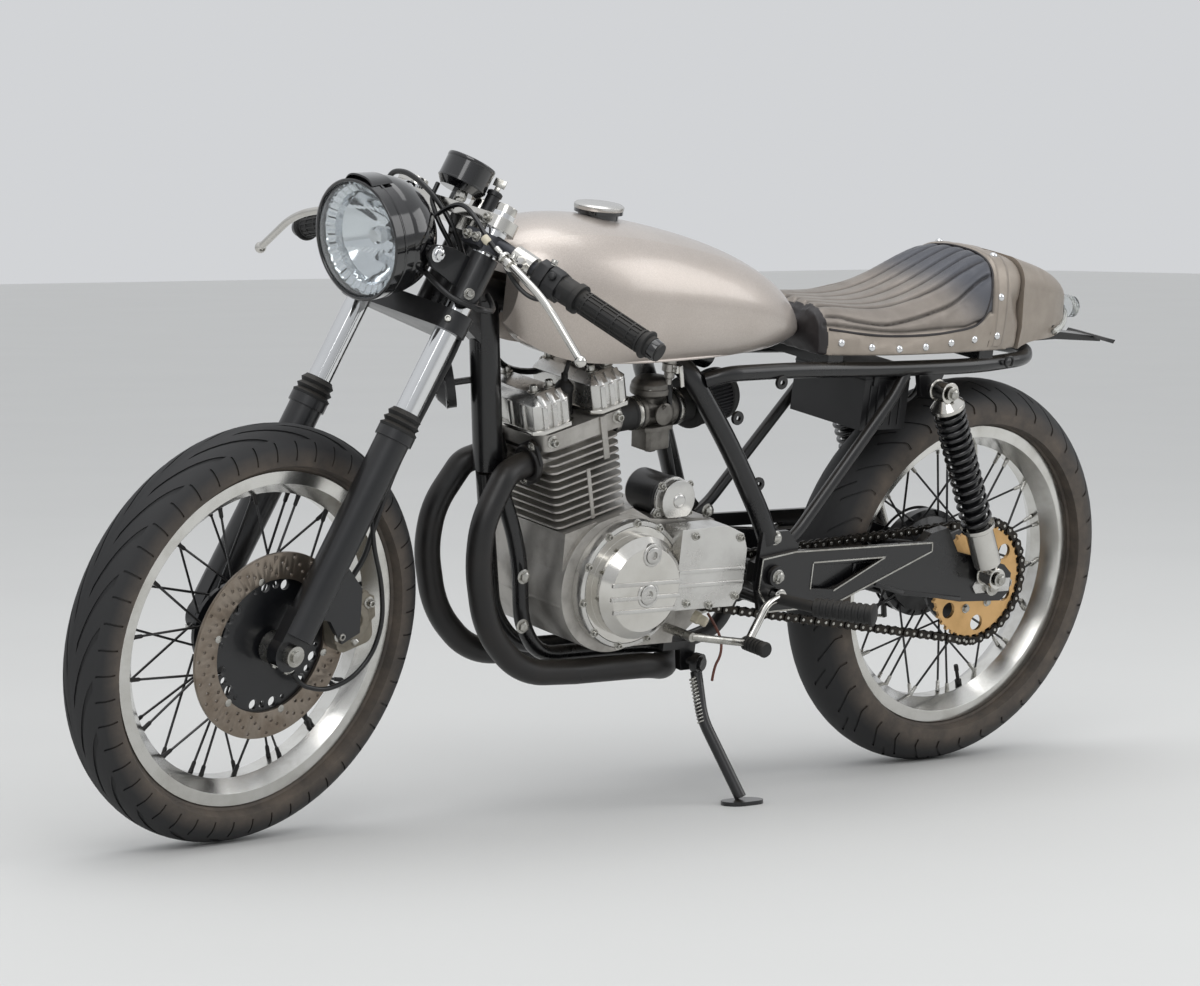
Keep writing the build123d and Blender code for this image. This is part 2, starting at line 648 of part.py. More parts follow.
with BuildPart() as clip_ons:
    for centre in leg_centres:
        level_disc(centre, TUBE_RADIUS + YOKE_CLAMP_WALL, CLIP_ON_HEIGHT - 12, CLIP_ON_HEIGHT + 12)
    for side in (1, -1):
        rod(on_bar(0, side), on_bar(1, side), BAR_RADIUS)
    for centre in leg_centres:
        level_disc(centre, tube_bore, CLIP_ON_HEIGHT - 30, CLIP_ON_HEIGHT + 22, Mode.SUBTRACT)

grip_from = 1 - GRIP_LENGTH / bar_run.length
with BuildPart() as hand_controls:
    for side in (1, -1):
        rod(on_bar(grip_from, side), on_bar(1.0, side), GRIP_RADIUS)
        rod(on_bar(grip_from - 0.03, side), on_bar(grip_from, side), GRIP_RADIUS + 6)
        rod(on_bar(1.0, side), on_bar(1.05, side), GRIP_RADIUS - 3)
        rod(on_bar(0.28, side), on_bar(grip_from - 0.035, side), GRIP_RADIUS + 3)
        rod(on_bar(0.2, side), on_bar(1.002, side), BAR_RADIUS + SEAT_GAP, Mode.SUBTRACT)

with BuildPart() as levers:
    for side in (1, -1):
        knee = Vector(LEVER_KNEE.X, side * LEVER_KNEE.Y, LEVER_KNEE.Z)
        ball = Vector(LEVER_BALL.X, side * LEVER_BALL.Y, LEVER_BALL.Z)
        perch = Vector(78, side * 178, 610)
        rod(on_bar(0.13, side), on_bar(0.25, side), BAR_RADIUS + 6)
        rod(on_bar(0.19, side), perch, 10)
        bent_tube([perch, knee, ball], 5.5, 0.4)
        with Locations(ball):
            Sphere(8.5)
    rod(on_bar(0.19, -1), RESERVOIR_AT, 8)
    rod(MASTER_PORT - MASTER_DIRECTION, MASTER_PORT, 9)
    level_disc((RESERVOIR_AT.X, RESERVOIR_AT.Y), 21, RESERVOIR_AT.Z - 4, RESERVOIR_AT.Z + 26)
    for side in (1, -1):
        rod(on_bar(0.05, side), on_bar(0.35, side), BAR_RADIUS + SEAT_GAP, Mode.SUBTRACT)

with BuildPart() as front_axle:
    side_disc((FORK_OFFSET, 0), AXLE_RADIUS, -foot_outer - 16, foot_outer + 16)
    side_disc((FORK_OFFSET, 0), 15, foot_outer + SEAT_GAP, foot_outer + 12)
    side_disc((FORK_OFFSET, 0), 15, -foot_outer - 12, -foot_outer - SEAT_GAP)
    side_disc((FORK_OFFSET, 0), 15, -foot_inner + SEAT_GAP, -FRONT_HUB_HALF - 10 - BEARING_GAP)
    side_disc((FORK_OFFSET, 0), 24, DISC_OFFSET + 4, foot_inner - SEAT_GAP)
    side_disc((FORK_OFFSET, 0), 15, carrier_face - SEAT_GAP + BEARING_GAP, DISC_OFFSET + 4)
    rod((FORK_OFFSET - 10, 68, -6), DRIVE_BOSS, 6)

# Floating caliper that straddles the disc behind the left leg
radial = Vector(cos(radians(CALIPER_ANGLE)), 0, sin(radians(CALIPER_ANGLE)))
caliper_at = Vector(FORK_OFFSET, 0, 0) + radial * CALIPER_REACH
caliper_plane = Plane(
    origin=caliper_at + Vector(0, DISC_OFFSET - CALIPER_HALF_WIDTH, 0), x_dir=radial, z_dir=(0, 1, 0),
)
with BuildPart() as brake_caliper:
    with BuildSketch(caliper_plane):
        RectangleRounded(CALIPER_DEPTH, CALIPER_LENGTH, 14)
    extrude(amount=caliper_outer - DISC_OFFSET + CALIPER_HALF_WIDTH)
    slot = DISC_THICKNESS / 2 + BRAKE_GAP
    side_disc(
        (FORK_OFFSET, 0), DISC_RADIUS + BRAKE_GAP, DISC_OFFSET - slot, DISC_OFFSET + slot, Mode.SUBTRACT,
    )
    side_disc(
        (FORK_OFFSET, 0), DISC_INNER_RADIUS + 6 + BRAKE_GAP,
        carrier_face - FLANGE_THICKNESS - BRAKE_GAP, DISC_OFFSET + slot, Mode.SUBTRACT,
    )

# Front brake hose and speedometer cable, held by the fork all the way
with BuildPart() as front_cables:
    bent_tube(BRAKE_HOSE, 4)
    bent_tube(SPEEDOMETER_CABLE, 3.5)

# Frame
spine_start = Vector(1062, 0, 797)
spine_end = Vector(SPINE_END, 0, 680)
downtube_top = Vector(996, 0, 772)
downtube_foot = Vector(953, 0, 521)
# Height of the roof of the channel under the tank, which rests on two pads on the spine.
def tunnel_roof(x):
    return 712 + (x - SPINE_END) * 105 / 440


with BuildPart() as frame_spine:
    with BuildSketch(steering_plane.offset(HEAD_TUBE_LOW)):
        Circle(HEAD_TUBE_RADIUS)
    extrude(amount=HEAD_TUBE_HIGH - HEAD_TUBE_LOW)
    rod(spine_start, spine_end, SPINE_RADIUS)
    rod(downtube_top, downtube_foot, DOWNTUBE_RADIUS)
    side_slab([(1062, 755), (992, 700), (972, 760), (985, 790), (1060, 812)], -14, 14)
    for low, high in (((600, 690), (640, 699)), ((900, 760), (930, 766))):
        side_slab([
            low, high, (high[0], tunnel_roof(high[0]) - SEAT_GAP),
            (low[0], tunnel_roof(low[0]) - SEAT_GAP),
        ], -12, 12)
    rod(HORN_AT - HORN_DIRECTION, HORN_AT, 5)
    with BuildSketch(steering_plane.offset(HEAD_TUBE_LOW)):
        Circle(HEAD_TUBE_RADIUS - HEAD_TUBE_WALL - 3)
    extrude(amount=HEAD_TUBE_HIGH - HEAD_TUBE_LOW, mode=Mode.SUBTRACT)

cross_tube = (476, 318)


# Route of a frame upright from the spine's rear end down to the swingarm pivot.
def upright_route(side):
    return [
        (658, side * 20, 690), (636, side * 58, 662), (561, side * 80, 554), (504, side * 98, 456),
        (482, side * 104, 410),
    ]


with BuildPart() as frame_cradle:
    for side in (1, -1):
        bent_tube([
            (948, side * 16, 513), (908, side * 38, 400), (888, side * 34, 292),
            (842, side * CRADLE_SPREAD, 240),
            (560, side * CRADLE_SPREAD, 240), (500, side * 34, 262),
            (cross_tube[0] + 4, side * 36, cross_tube[1]),
        ], CRADLE_RADIUS)
        side_disc(cross_tube, 16, side * 26, side * 46)
        for x in (640, 700):
            side_slab(
                [(x, 242), (x + 26, 242), (x + 26, 262 - SEAT_GAP), (x, 262 - SEAT_GAP)], side * 20, side * 32,
            )
    side_slab([(576, 243), (576, 256), (640, 256), (640, 243)], CRADLE_SPREAD, 72)
    side_slab([
        (576, 256), (640, 256), (640, 243), (606, 243), (600, 210), (576, 210),
    ], 60, STAND_PIVOT.Y - 14)
    rod(STAND_PIVOT - stand_axis * 22, STAND_PIVOT + stand_axis * 8, STAND_PIN_RADIUS)
    rod(STAND_PIVOT + stand_axis * 6.5, STAND_PIVOT + stand_axis * 10, STAND_PIN_RADIUS + 4)
    side_disc(cross_tube, CROSS_TUBE_RADIUS + SEAT_GAP, -50, 50, Mode.SUBTRACT)

plate_inner = ARM_SPREAD + ARM_WIDTH / 2 + 0.5
plate_outer = plate_inner + 8
with BuildPart() as frame_uprights:
    for side in (1, -1):
        bent_tube(upright_route(side), UPRIGHT_RADIUS)
        side_slab([
            (452, 428), (504, 428), (508, 352), (494, 306), (458, 306), (436, 362), (428, 404),
        ], side * plate_inner, side * plate_outer)
        bent_tube([
            (227, side * RAIL_SPREAD, 664), (252, side * 97, 626), (425, side * 103, 422),
            (450, side * 104, 403),
        ], STAY_RADIUS)
    side_disc(cross_tube, CROSS_TUBE_RADIUS, -plate_outer, plate_outer)
    for side in (1, -1):
        side_disc(
            PIVOT_AT, PIVOT_BOLT_RADIUS + SEAT_GAP, side * plate_inner, side * plate_outer, Mode.SUBTRACT,
        )
        rod(
            (190, side * RAIL_SPREAD, RAIL_HEIGHT), (265, side * RAIL_SPREAD, RAIL_HEIGHT),
            RAIL_RADIUS + SEAT_GAP, Mode.SUBTRACT,
        )
    rod(spine_start, spine_end, SPINE_RADIUS + SEAT_GAP, Mode.SUBTRACT)

with BuildPart() as seat_rails:
    left_rail = [
        (618, 70, 655), (588, 88, 668), (459, RAIL_SPREAD, 671), (271, RAIL_SPREAD, RAIL_HEIGHT),
        (80, RAIL_SPREAD, RAIL_HEIGHT),
        (-50, 70, 671), (-96, 24, 674),
    ]
    bent_tube(left_rail + [(x, -y, z) for x, y, z in reversed(left_rail)], RAIL_RADIUS)
    for x in (380, 60):
        with Locations((x, 0, SEAT_BASE - SEAT_GAP - 8)):
            Box(30, 2 * RAIL_SPREAD, 16)
    for side in (1, -1):
        side_slab([
            (150, RAIL_HEIGHT - 3), (208, RAIL_HEIGHT - 3), (196, 624), (168, 620),
        ], side * (RAIL_SPREAD - 3), side * (RAIL_SPREAD + 7))
        side_disc(SHOCK_TOP, SHOCK_PIN_RADIUS, side * RAIL_SPREAD, side * (SHOCK_SPREAD + 20))
        bent_tube(upright_route(side), UPRIGHT_RADIUS + SEAT_GAP, mode=Mode.SUBTRACT)

rear_axle_height = REAR_TYRE_RADIUS
arm_inner = ARM_SPREAD - ARM_WIDTH / 2
arm_outer = ARM_SPREAD + ARM_WIDTH / 2
with BuildPart() as swingarm:
    for side in (1, -1):
        side_slab([
            (504, 378), (486, 387), (300, 373), (176, 371), (140, 405), (106, 412), (78, 372), (-30, 345),
            (-48, 330), (-48, 300), (-30, 286), (60, 290), (113, 299), (186, 308), (250, 326), (340, 312),
            (430, 322), (486, 338), (504, 348),
        ], side * arm_inner, side * arm_outer)
        side_disc(SHOCK_FOOT, SHOCK_PIN_RADIUS, side * arm_inner, side * (SHOCK_SPREAD + 20))
    side_disc(PIVOT_AT, PIVOT_TUBE_RADIUS, -arm_inner, arm_inner)
    side_disc(PIVOT_AT, PIVOT_BOLT_RADIUS, -plate_outer - 9, plate_outer + 9)
    for side in (1, -1):
        side_disc(PIVOT_AT, PIVOT_BOLT_RADIUS + 7, side * (plate_outer + 9), side * (plate_outer + 16))
        rod((410, side * 60, 355), (410, side * arm_inner, 355), 12)
    rod((410, -62, 355), (410, 62, 355), 12)
    for side in (1, -1):
        side_disc(
            (0, rear_axle_height), AXLE_RADIUS + SEAT_GAP, side * arm_inner, side * arm_outer, Mode.SUBTRACT,
        )

with BuildPart() as rear_axle:
    side_disc((0, 0), AXLE_RADIUS, -arm_outer - 14, arm_outer + 14)
    side_disc((0, 0), 14.5, arm_outer + SEAT_GAP, arm_outer + 11)
    side_disc((0, 0), 14.5, -arm_outer - 11, -arm_outer - SEAT_GAP)
    side_disc((0, 0), 15, sprocket_inner_face - SEAT_GAP + BEARING_GAP, arm_inner - SEAT_GAP)
    side_disc((0, 0), 15, -arm_inner + SEAT_GAP, -PANEL_FACE - 12 - SEAT_GAP)

with BuildPart() as rear_brake:
    turned([
        (-PANEL_FACE, AXLE_RADIUS + SEAT_GAP), (-PANEL_FACE, REAR_DRUM_RADIUS - 6),
        (-PANEL_FACE - 6, REAR_DRUM_RADIUS - 6), (-PANEL_FACE - 9, 52), (-PANEL_FACE - 12, 36),
        (-PANEL_FACE - 12, AXLE_RADIUS + SEAT_GAP),
    ])
    rod((58, -PANEL_FACE - 8, -50), (300, -arm_inner + 9, 14), 6)
    rod((300, -arm_inner + 12, 14), (300, -arm_inner + SEAT_GAP, 14), 6)

# Engine
with BuildPart() as engine_case:
    side_disc(CRANK_AT, CRANK_RADIUS, -CASE_HALF_WIDTH, CASE_HALF_WIDTH)
    deck_front = on_engine(62, 0, -0.1)
    deck_rear = on_engine(-66, 0, -0.1)
    gearbox = [
        (775, 262), (868, 330), (deck_front.X, deck_front.Z), (deck_rear.X, deck_rear.Z), (712, 455),
    ]
    side_slab([(600, 262), *gearbox, (560, 440), (540, 405), (540, 310)], -92, 62)
    side_slab([(642, 262), *gearbox, (642, 450)], 61, 92)
    deck_left, deck_top = on_engine(-72, 0, -0.1), on_engine(-72, 0, 60)
    deck_right, deck_end = on_engine(120, 0, -0.1), on_engine(120, 0, 60)
    side_slab([
        (corner.X, corner.Z) for corner in (deck_left, deck_right, deck_end, deck_top)
    ], -CASE_HALF_WIDTH - 2, CASE_HALF_WIDTH + 2, Mode.SUBTRACT)
    side_disc(STARTER_AT, 31, 10, 86)

with BuildPart() as cylinder:
    with BuildSketch(cylinder_plane):
        RectangleRounded(96, 112, 30)
    extrude(amount=CYLINDER_FINS * FIN_PITCH)
    for fin in range(CYLINDER_FINS):
        with BuildSketch(cylinder_plane.offset(4 + fin * FIN_PITCH)):
            RectangleRounded(2 * FIN_HALF_LENGTH, 2 * FIN_HALF_WIDTH, 12)
        extrude(amount=FIN_THICKNESS)

head_low = CYLINDER_FINS * FIN_PITCH + SEAT_GAP
with BuildPart() as cylinder_head:
    with BuildSketch(cylinder_plane.offset(head_low)):
        with Locations((-4, 0)):
            RectangleRounded(116, 126, 24)
    extrude(amount=HEAD_HIGH - head_low)
    for fin in range(HEAD_FINS):
        with BuildSketch(cylinder_plane.offset(head_low + 4 + fin * FIN_PITCH)):
            RectangleRounded(2 * FIN_HALF_LENGTH, 2 * FIN_HALF_WIDTH, 12)
        extrude(amount=FIN_THICKNESS)
    with BuildSketch(cylinder_plane.offset(HEAD_HIGH - 26)):
        with Locations((-5, 0)):
            RectangleRounded(150, 156, 16)
    extrude(amount=26)
    for side in (1, -1):
        rod(
            on_engine(40, side * PORT_SPREAD, PORT_HEIGHT), on_engine(FIN_HALF_LENGTH + 3, side * PORT_SPREAD, PORT_HEIGHT), 19.5,
        )
    rod(on_engine(-40, INTAKE_OFFSET, INTAKE_HEIGHT), on_engine(-84, INTAKE_OFFSET, INTAKE_HEIGHT), 22)

with BuildPart() as cam_covers:
    for from_x, to_x in ((13, 80), (-92, -28)):
        with BuildSketch(cylinder_plane.offset(HEAD_HIGH)):
            with Locations(((from_x + to_x) / 2, 0)):
                RectangleRounded(to_x - from_x, 150, 18)
        extrude(amount=COVER_HEIGHT, taper=4)

with BuildPart() as generator_cover:
    spun([
        (0, CASE_HALF_WIDTH + SEAT_GAP), (COVER_RADIUS + 11, CASE_HALF_WIDTH + SEAT_GAP),
        (COVER_RADIUS + 11, 118),
        (COVER_RADIUS, 118), (COVER_RADIUS, COVER_FACE - 14), (COVER_RADIUS - 14, COVER_FACE),
        (0, COVER_FACE),
    ], Plane(origin=(COVER_AT[0], 0, COVER_AT[1]), x_dir=(1, 0, 0), z_dir=(0, 1, 0)))
    side_slab(
        [(600, 250), (600, 480), (688, 480), (688, 250)], CASE_HALF_WIDTH, COVER_FACE, Mode.SUBTRACT,
    )

with BuildPart() as sprocket_cover:
    side_slab([
        (556, 350), (572, 325), (687, 325), (687, 447), (600, 450), (566, 436), (556, 412),
    ], CASE_HALF_WIDTH + SEAT_GAP, SPROCKET_COVER_FACE)
    side_slab([(642, 330), (687, 330), (687, 440), (642, 440)], 92 + SEAT_GAP, CASE_HALF_WIDTH + SEAT_GAP)
    side_disc(CRANK_AT, CRANK_RADIUS + SEAT_GAP, 92, CASE_HALF_WIDTH + SEAT_GAP, Mode.SUBTRACT)

with BuildPart() as clutch_cover:
    spun([
        (0, CASE_HALF_WIDTH + SEAT_GAP), (94, CASE_HALF_WIDTH + SEAT_GAP), (94, 128),
        (80, CLUTCH_COVER_FACE - 4),
        (60, CLUTCH_COVER_FACE), (0, CLUTCH_COVER_FACE),
    ], Plane(origin=(752, 0, 358), x_dir=(1, 0, 0), z_dir=(0, -1, 0)))

with BuildPart() as carburettor:
    port = on_engine(-84.3, INTAKE_OFFSET, INTAKE_HEIGHT)
    rod(port, on_engine(-96, INTAKE_OFFSET, INTAKE_HEIGHT), 21)
    rod(on_engine(-92, INTAKE_OFFSET, INTAKE_HEIGHT), CARBURETTOR_AT + Vector(30, 0, -2), 20)
    rod(CARBURETTOR_AT + Vector(32, 0, -2), CARBURETTOR_AT + Vector(-44, 0, 6), 27)
    level_disc((CARBURETTOR_AT.X, CARBURETTOR_AT.Y), 24, CARBURETTOR_AT.Z - 62, CARBURETTOR_AT.Z)
    level_disc((CARBURETTOR_AT.X, CARBURETTOR_AT.Y), 18, CARBURETTOR_AT.Z, CARBURETTOR_AT.Z + 44)

with BuildPart() as air_filter:
    filter_from = CARBURETTOR_AT + Vector(-44 - SEAT_GAP, 0, 6)
    spun([
        (0, 0), (27, 0), (27, 6), (FILTER_RADIUS, 24), (FILTER_RADIUS, 30), (FILTER_RADIUS - 3, 30),
        (FILTER_RADIUS - 3, 78), (FILTER_RADIUS, 78), (FILTER_RADIUS, 86), (0, 86),
    ], Plane(origin=filter_from + Vector(-7, -1, 0.8), z_dir=(-76, -16, 8)))
    rod(filter_from, filter_from + Vector(-11.4, 0, 1.2), 24)

with BuildPart() as exhaust:
    for side in (1, -1):
        bent_tube([
            on_engine(FIN_HALF_LENGTH + 3.3, side * PORT_SPREAD, PORT_HEIGHT),
            on_engine(FIN_HALF_LENGTH + 40, side * PORT_SPREAD, PORT_HEIGHT),
            (962, side * 50, 520), (1000, side * 58, 455), (1003, side * HEADER_SPREAD, 390),
            (976, side * HEADER_SPREAD, 296), (902, side * HEADER_SPREAD, 226),
            (800, side * HEADER_SPREAD, 221),
        ], HEADER_RADIUS)
    bent_tube([
        (800, HEADER_SPREAD, 221), (655, HEADER_SPREAD, 220), (600, 34, 205), (540, -30, 204),
        (502, -84, 222),
        (478, -122, 242),
    ], HEADER_RADIUS)
    bent_tube([
        (800, -HEADER_SPREAD, 221), (640, -HEADER_SPREAD, 221), (560, -76, 224), (510, -100, 234),
        (474, -128, 246),
    ], HEADER_RADIUS)
    rod((488, -122, 242), (452, -144, 251), 28)
    rod((462, -139, 249), (250, -158, 283), MUFFLER_RADIUS)
    rod((252, -158, 282.6), (222, -160, 287.5), 21)

# Fuel tank: x, half width at the base, half width at the belt, base, belt and crown heights
TANK_SECTIONS = [
    (TANK_REAR, 30, 48, 712, 722, 742),
    (480, 65, 88, 705, 738, 797),
    (620, 97, 121, 698, 757, 856),
    (800, 110, 135, 695, 768, 890),
    (930, 92, 114, 705, 782, 889),
    (990, 44, 70, 745, 800, 862),
]


# Section of the tank: a flat floor, a rolled lower edge, round shoulders and a crowned top.
def tank_section(x, half_base, half_width, base, belt, crown, wall=0):
    half_base, half_width, base, crown = half_base - wall, half_width - wall, base + wall, crown - wall
    rise = crown - belt
    lower = (half_base + 0.75 * (half_width - half_base), base + 0.45 * (belt - base))
    shoulder = (0.9 * half_width, belt + 0.53 * rise)
    top = (0.62 * half_width, crown - 0.14 * rise)
    with BuildSketch(Plane(origin=(x, 0, 0), x_dir=(0, 1, 0), z_dir=(1, 0, 0))) as section:
        with BuildLine():
            Line((-half_base, base), (half_base, base))
            ThreePointArc((half_base, base), lower, (half_width, belt))
            ThreePointArc((half_width, belt), shoulder, top)
            ThreePointArc(top, (0, crown), (-top[0], top[1]))
            ThreePointArc((-top[0], top[1]), (-shoulder[0], shoulder[1]), (-half_width, belt))
            ThreePointArc((-half_width, belt), (-lower[0], lower[1]), (-half_base, base))
        make_face()
    return section.sketch


# Adds the channel under the tank that straddles the frame's spine.
def tank_tunnel(wall, mode):
    side_slab([
        (TANK_REAR - 10, 600), (TANK_REAR - 10, 700 + wall), (SPINE_END, tunnel_roof(SPINE_END) + wall),
        (1000, tunnel_roof(1000) + wall), (1000, 600),
    ], -TUNNEL_HALF - wall, TUNNEL_HALF + wall, mode)


with BuildPart() as tank_space:
    loft(sections=[
        tank_section(TANK_REAR + TANK_WALL, *TANK_SECTIONS[0][1:], TANK_WALL),
        *[tank_section(*section, TANK_WALL) for section in TANK_SECTIONS[1:-1]],
        tank_section(990 - TANK_WALL, *TANK_SECTIONS[-1][1:], TANK_WALL),
    ])
    tank_tunnel(TANK_WALL, Mode.SUBTRACT)

with BuildPart() as fuel_tank:
    loft(sections=[tank_section(*section) for section in TANK_SECTIONS])
    tank_tunnel(0, Mode.SUBTRACT)
    add(tank_space.part, mode=Mode.SUBTRACT)
    level_disc((FILLER_AT, 0), FILLER_RADIUS, 860, 900, Mode.SUBTRACT)

with BuildPart() as fuel_cap:
    spun([
        (0, 0), (FILLER_RADIUS - SEAT_GAP, 0), (FILLER_RADIUS - SEAT_GAP, 12), (FILLER_RADIUS + 6, 13),
        (FILLER_RADIUS + 6, 20), (FILLER_RADIUS, 24), (0, 26),
    ], Plane(origin=(FILLER_AT, 0, 882)))

# Seat: x, bottom, top and half width; the cowl carries the same section to the tail
SEAT_SECTIONS = [(SEAT_FRONT, 760, 98), (277, 757, 125), (176, 785, 125), (65, 834, 112), (SEAT_REAR, 833, 98)]
COWL_SECTIONS = [
    (SEAT_REAR, SEAT_BASE, 833, 98), (-100, 703, 806, 72), (-150, 712, 780, 45), (TAIL_END, 730, 757, 20),
]


# Section of the seat or cowl: flat below, upright sides and a crowned top.
def seat_section(x, bottom, top, half_width):
    height = top - bottom
    side_low = (half_width, bottom + 0.25 * height)
    side_high = (0.94 * half_width, bottom + 0.68 * height)
    with BuildSketch(Plane(origin=(x, 0, 0), x_dir=(0, 1, 0), z_dir=(1, 0, 0))) as section:
        with BuildLine():
            Line((-0.96 * half_width, bottom), (0.96 * half_width, bottom))
            Line((0.96 * half_width, bottom), side_low)
            Line(side_low, side_high)
            ThreePointArc(side_high, (0.8 * half_width, bottom + 0.92 * height), (0.5 * half_width, top - 1))
            ThreePointArc((0.5 * half_width, top - 1), (0, top), (-0.5 * half_width, top - 1))
            ThreePointArc(
                (-0.5 * half_width, top - 1), (-0.8 * half_width, bottom + 0.92 * height),
                (-side_high[0], side_high[1]),
            )
            Line((-side_high[0], side_high[1]), (-side_low[0], side_low[1]))
            Line((-side_low[0], side_low[1]), (-0.96 * half_width, bottom))
        make_face()
    return section.sketch


with BuildPart() as seat_pad:
    loft(sections=[seat_section(x, SEAT_BASE, top, half_width) for x, top, half_width in SEAT_SECTIONS])

with BuildPart() as tail_cowl:
    loft(sections=[
        seat_section(x - (BEARING_GAP if x == SEAT_REAR else 0), bottom, top, half_width)
        for x, bottom, top, half_width in COWL_SECTIONS
    ])

with BuildPart() as tail_lamp:
    with BuildSketch(Plane(origin=(TAIL_END - SEAT_GAP, 0, 743), x_dir=(0, 1, 0), z_dir=(-1, 0, 0))):
        SlotOverall(84, 34)
    extrude(amount=16)

with BuildPart() as plate_bracket:
    side_slab([
        (-64, 686.3), (-60, 693), (-150, 703), (-176, 700), (-272, 690), (-276, 682),
        (-170, 688), (-116, 686.3),
    ], -16, 16)
    side_slab([(-262, 693), (-280, 690), (-276, 684), (-258, 688)], -45, 45)

# Shock absorbers
shock_top = Vector(SHOCK_TOP[0], 0, SHOCK_TOP[1])
shock_foot = Vector(SHOCK_FOOT[0], 0, SHOCK_FOOT[1])
shock_down = (shock_foot - shock_top).normalized()
shock_length = (shock_foot - shock_top).length
shock_planes = [
    Plane(origin=shock_top + Vector(0, side * SHOCK_SPREAD, 0), x_dir=(0, 1, 0), z_dir=shock_down)
    for side in (1, -1)
]
with BuildPart() as shock_bodies:
    for shock_plane in shock_planes:
        spun([
            (0, 10), (14, 10), (SPRING_RADIUS, SPRING_FROM - 6), (SPRING_RADIUS, SPRING_FROM),
            (13, SPRING_FROM),
            (13, SPRING_TO), (SPRING_RADIUS, SPRING_TO), (SPRING_RADIUS, SPRING_TO + 6),
            (SHOCK_BODY_RADIUS, SPRING_TO + 10), (SHOCK_BODY_RADIUS, shock_length - 26),
            (12, shock_length - 12), (0, shock_length - 12),
        ], shock_plane)
    for side in (1, -1):
        for end in (SHOCK_TOP, SHOCK_FOOT):
            side_disc(end, SHOCK_EYE_RADIUS, side * (SHOCK_SPREAD - 12), side * (SHOCK_SPREAD + 12))
            side_disc(
                end, SHOCK_PIN_RADIUS + SEAT_GAP, side * (SHOCK_SPREAD - 14),
                side * (SHOCK_SPREAD + 14), Mode.SUBTRACT,
            )

coil_pitch = (SPRING_TO - SPRING_FROM - 2 * SEAT_GAP) / SPRING_COILS
with BuildPart() as shock_springs:
    for shock_plane in shock_planes:
        outline = [(17, SPRING_TO - SEAT_GAP), (17, SPRING_FROM + SEAT_GAP)]
        for coil in range(SPRING_COILS):
            low = SPRING_FROM + SEAT_GAP + coil * coil_pitch
            outline += [(21, low), (SPRING_RADIUS, low + 0.35 * coil_pitch), (SPRING_RADIUS, low + 0.65 * coil_pitch)]
        outline += [(21, SPRING_TO - SEAT_GAP)]
        spun(outline, shock_plane)

# Footrests, their plates and the foot controls
peg_inner = plate_outer + BEARING_GAP
peg_outer = peg_inner + 7
with BuildPart() as peg_plates:
    for side in (1, -1):
        side_slab([
            (506, 390), (440, 398), (152, 396), (150, 380), (352, 306), (482, 304), (508, 340),
        ], side * peg_inner, side * peg_outer)
        side_slab(
            [(400, 376), (250, 376), (352, 332), (400, 336)], side * peg_inner, side * peg_outer, Mode.SUBTRACT,
        )
        side_disc(
            PIVOT_AT, PIVOT_BOLT_RADIUS + SEAT_GAP, side * peg_inner, side * peg_outer, Mode.SUBTRACT,
        )

with BuildPart() as foot_pegs:
    for side in (1, -1):
        stem = Vector(474, side * (peg_outer + 8), 328)
        side_disc((474, 328), 9, side * (peg_outer + SEAT_GAP), side * (peg_outer + 12))
        inner = Vector(460, side * 198, 331)
        outer = Vector(414, side * 280, 337)
        rod(stem, inner, 9)
        rod(inner, outer, 14)

with BuildPart() as foot_controls:
    rod((656, 92 + SEAT_GAP, 286), (656, 152, 286), 7)
    rod((656, 147, 286), (546, 152, 270), 6)
    rod((546, 146, 270), (546, 196, 270), 9)
    side_disc((496, 338), 9, -peg_outer - 16, -peg_outer - SEAT_GAP)
    bent_tube([
        (496, -peg_outer - 10, 338), (540, -peg_outer - 12, 322), (592, -peg_outer - 20, 303),
        (626, -peg_outer - 34, 299),
    ], 6)
    rod((618, -peg_outer - 22, 299), (626, -peg_outer - 56, 299), 9)

with BuildPart() as electrics:
    spun([
        (0, 0.2), (36, 0.2), (36, 14), (22, 26), (0, 26),
    ], Plane(origin=HORN_AT, z_dir=HORN_DIRECTION))
    with Locations((253, 0, 618)):
        Box(94, 2 * (RAIL_SPREAD - RAIL_RADIUS - SEAT_GAP), 98)

# Side stand: an eye on the splayed pin, a bent leg and a foot that lies flat when the machine leans on it
ground_slope = tan(radians(LEAN))
foot_at = Vector(STAND_FOOT_X, STAND_FOOT_Y, STAND_FOOT_Y * ground_slope - STAND_SINK)
foot_normal = Vector(0, -sin(radians(LEAN)), cos(radians(LEAN)))
with BuildPart() as stand_leg:
    eye_plane = Plane(origin=STAND_PIVOT - stand_axis * 6, z_dir=stand_axis)
    with BuildSketch(eye_plane):
        Circle(STAND_PIN_RADIUS + 9)
    extrude(amount=12)
    bent_tube([
        STAND_PIVOT + Vector(0, -1, -14), (584, 115, 146), foot_at + foot_normal * 5 + Vector(1, -3, 4),
    ], STAND_LEG_RADIUS, 0.3)
    with BuildSketch(Plane(origin=foot_at, x_dir=(1, 0, 0), z_dir=foot_normal)):
        SlotOverall(70, 44)
    extrude(amount=6)
    rod(
        STAND_PIVOT - stand_axis * 30, STAND_PIVOT + stand_axis * 30, STAND_PIN_RADIUS + BEARING_GAP, Mode.SUBTRACT,
    )

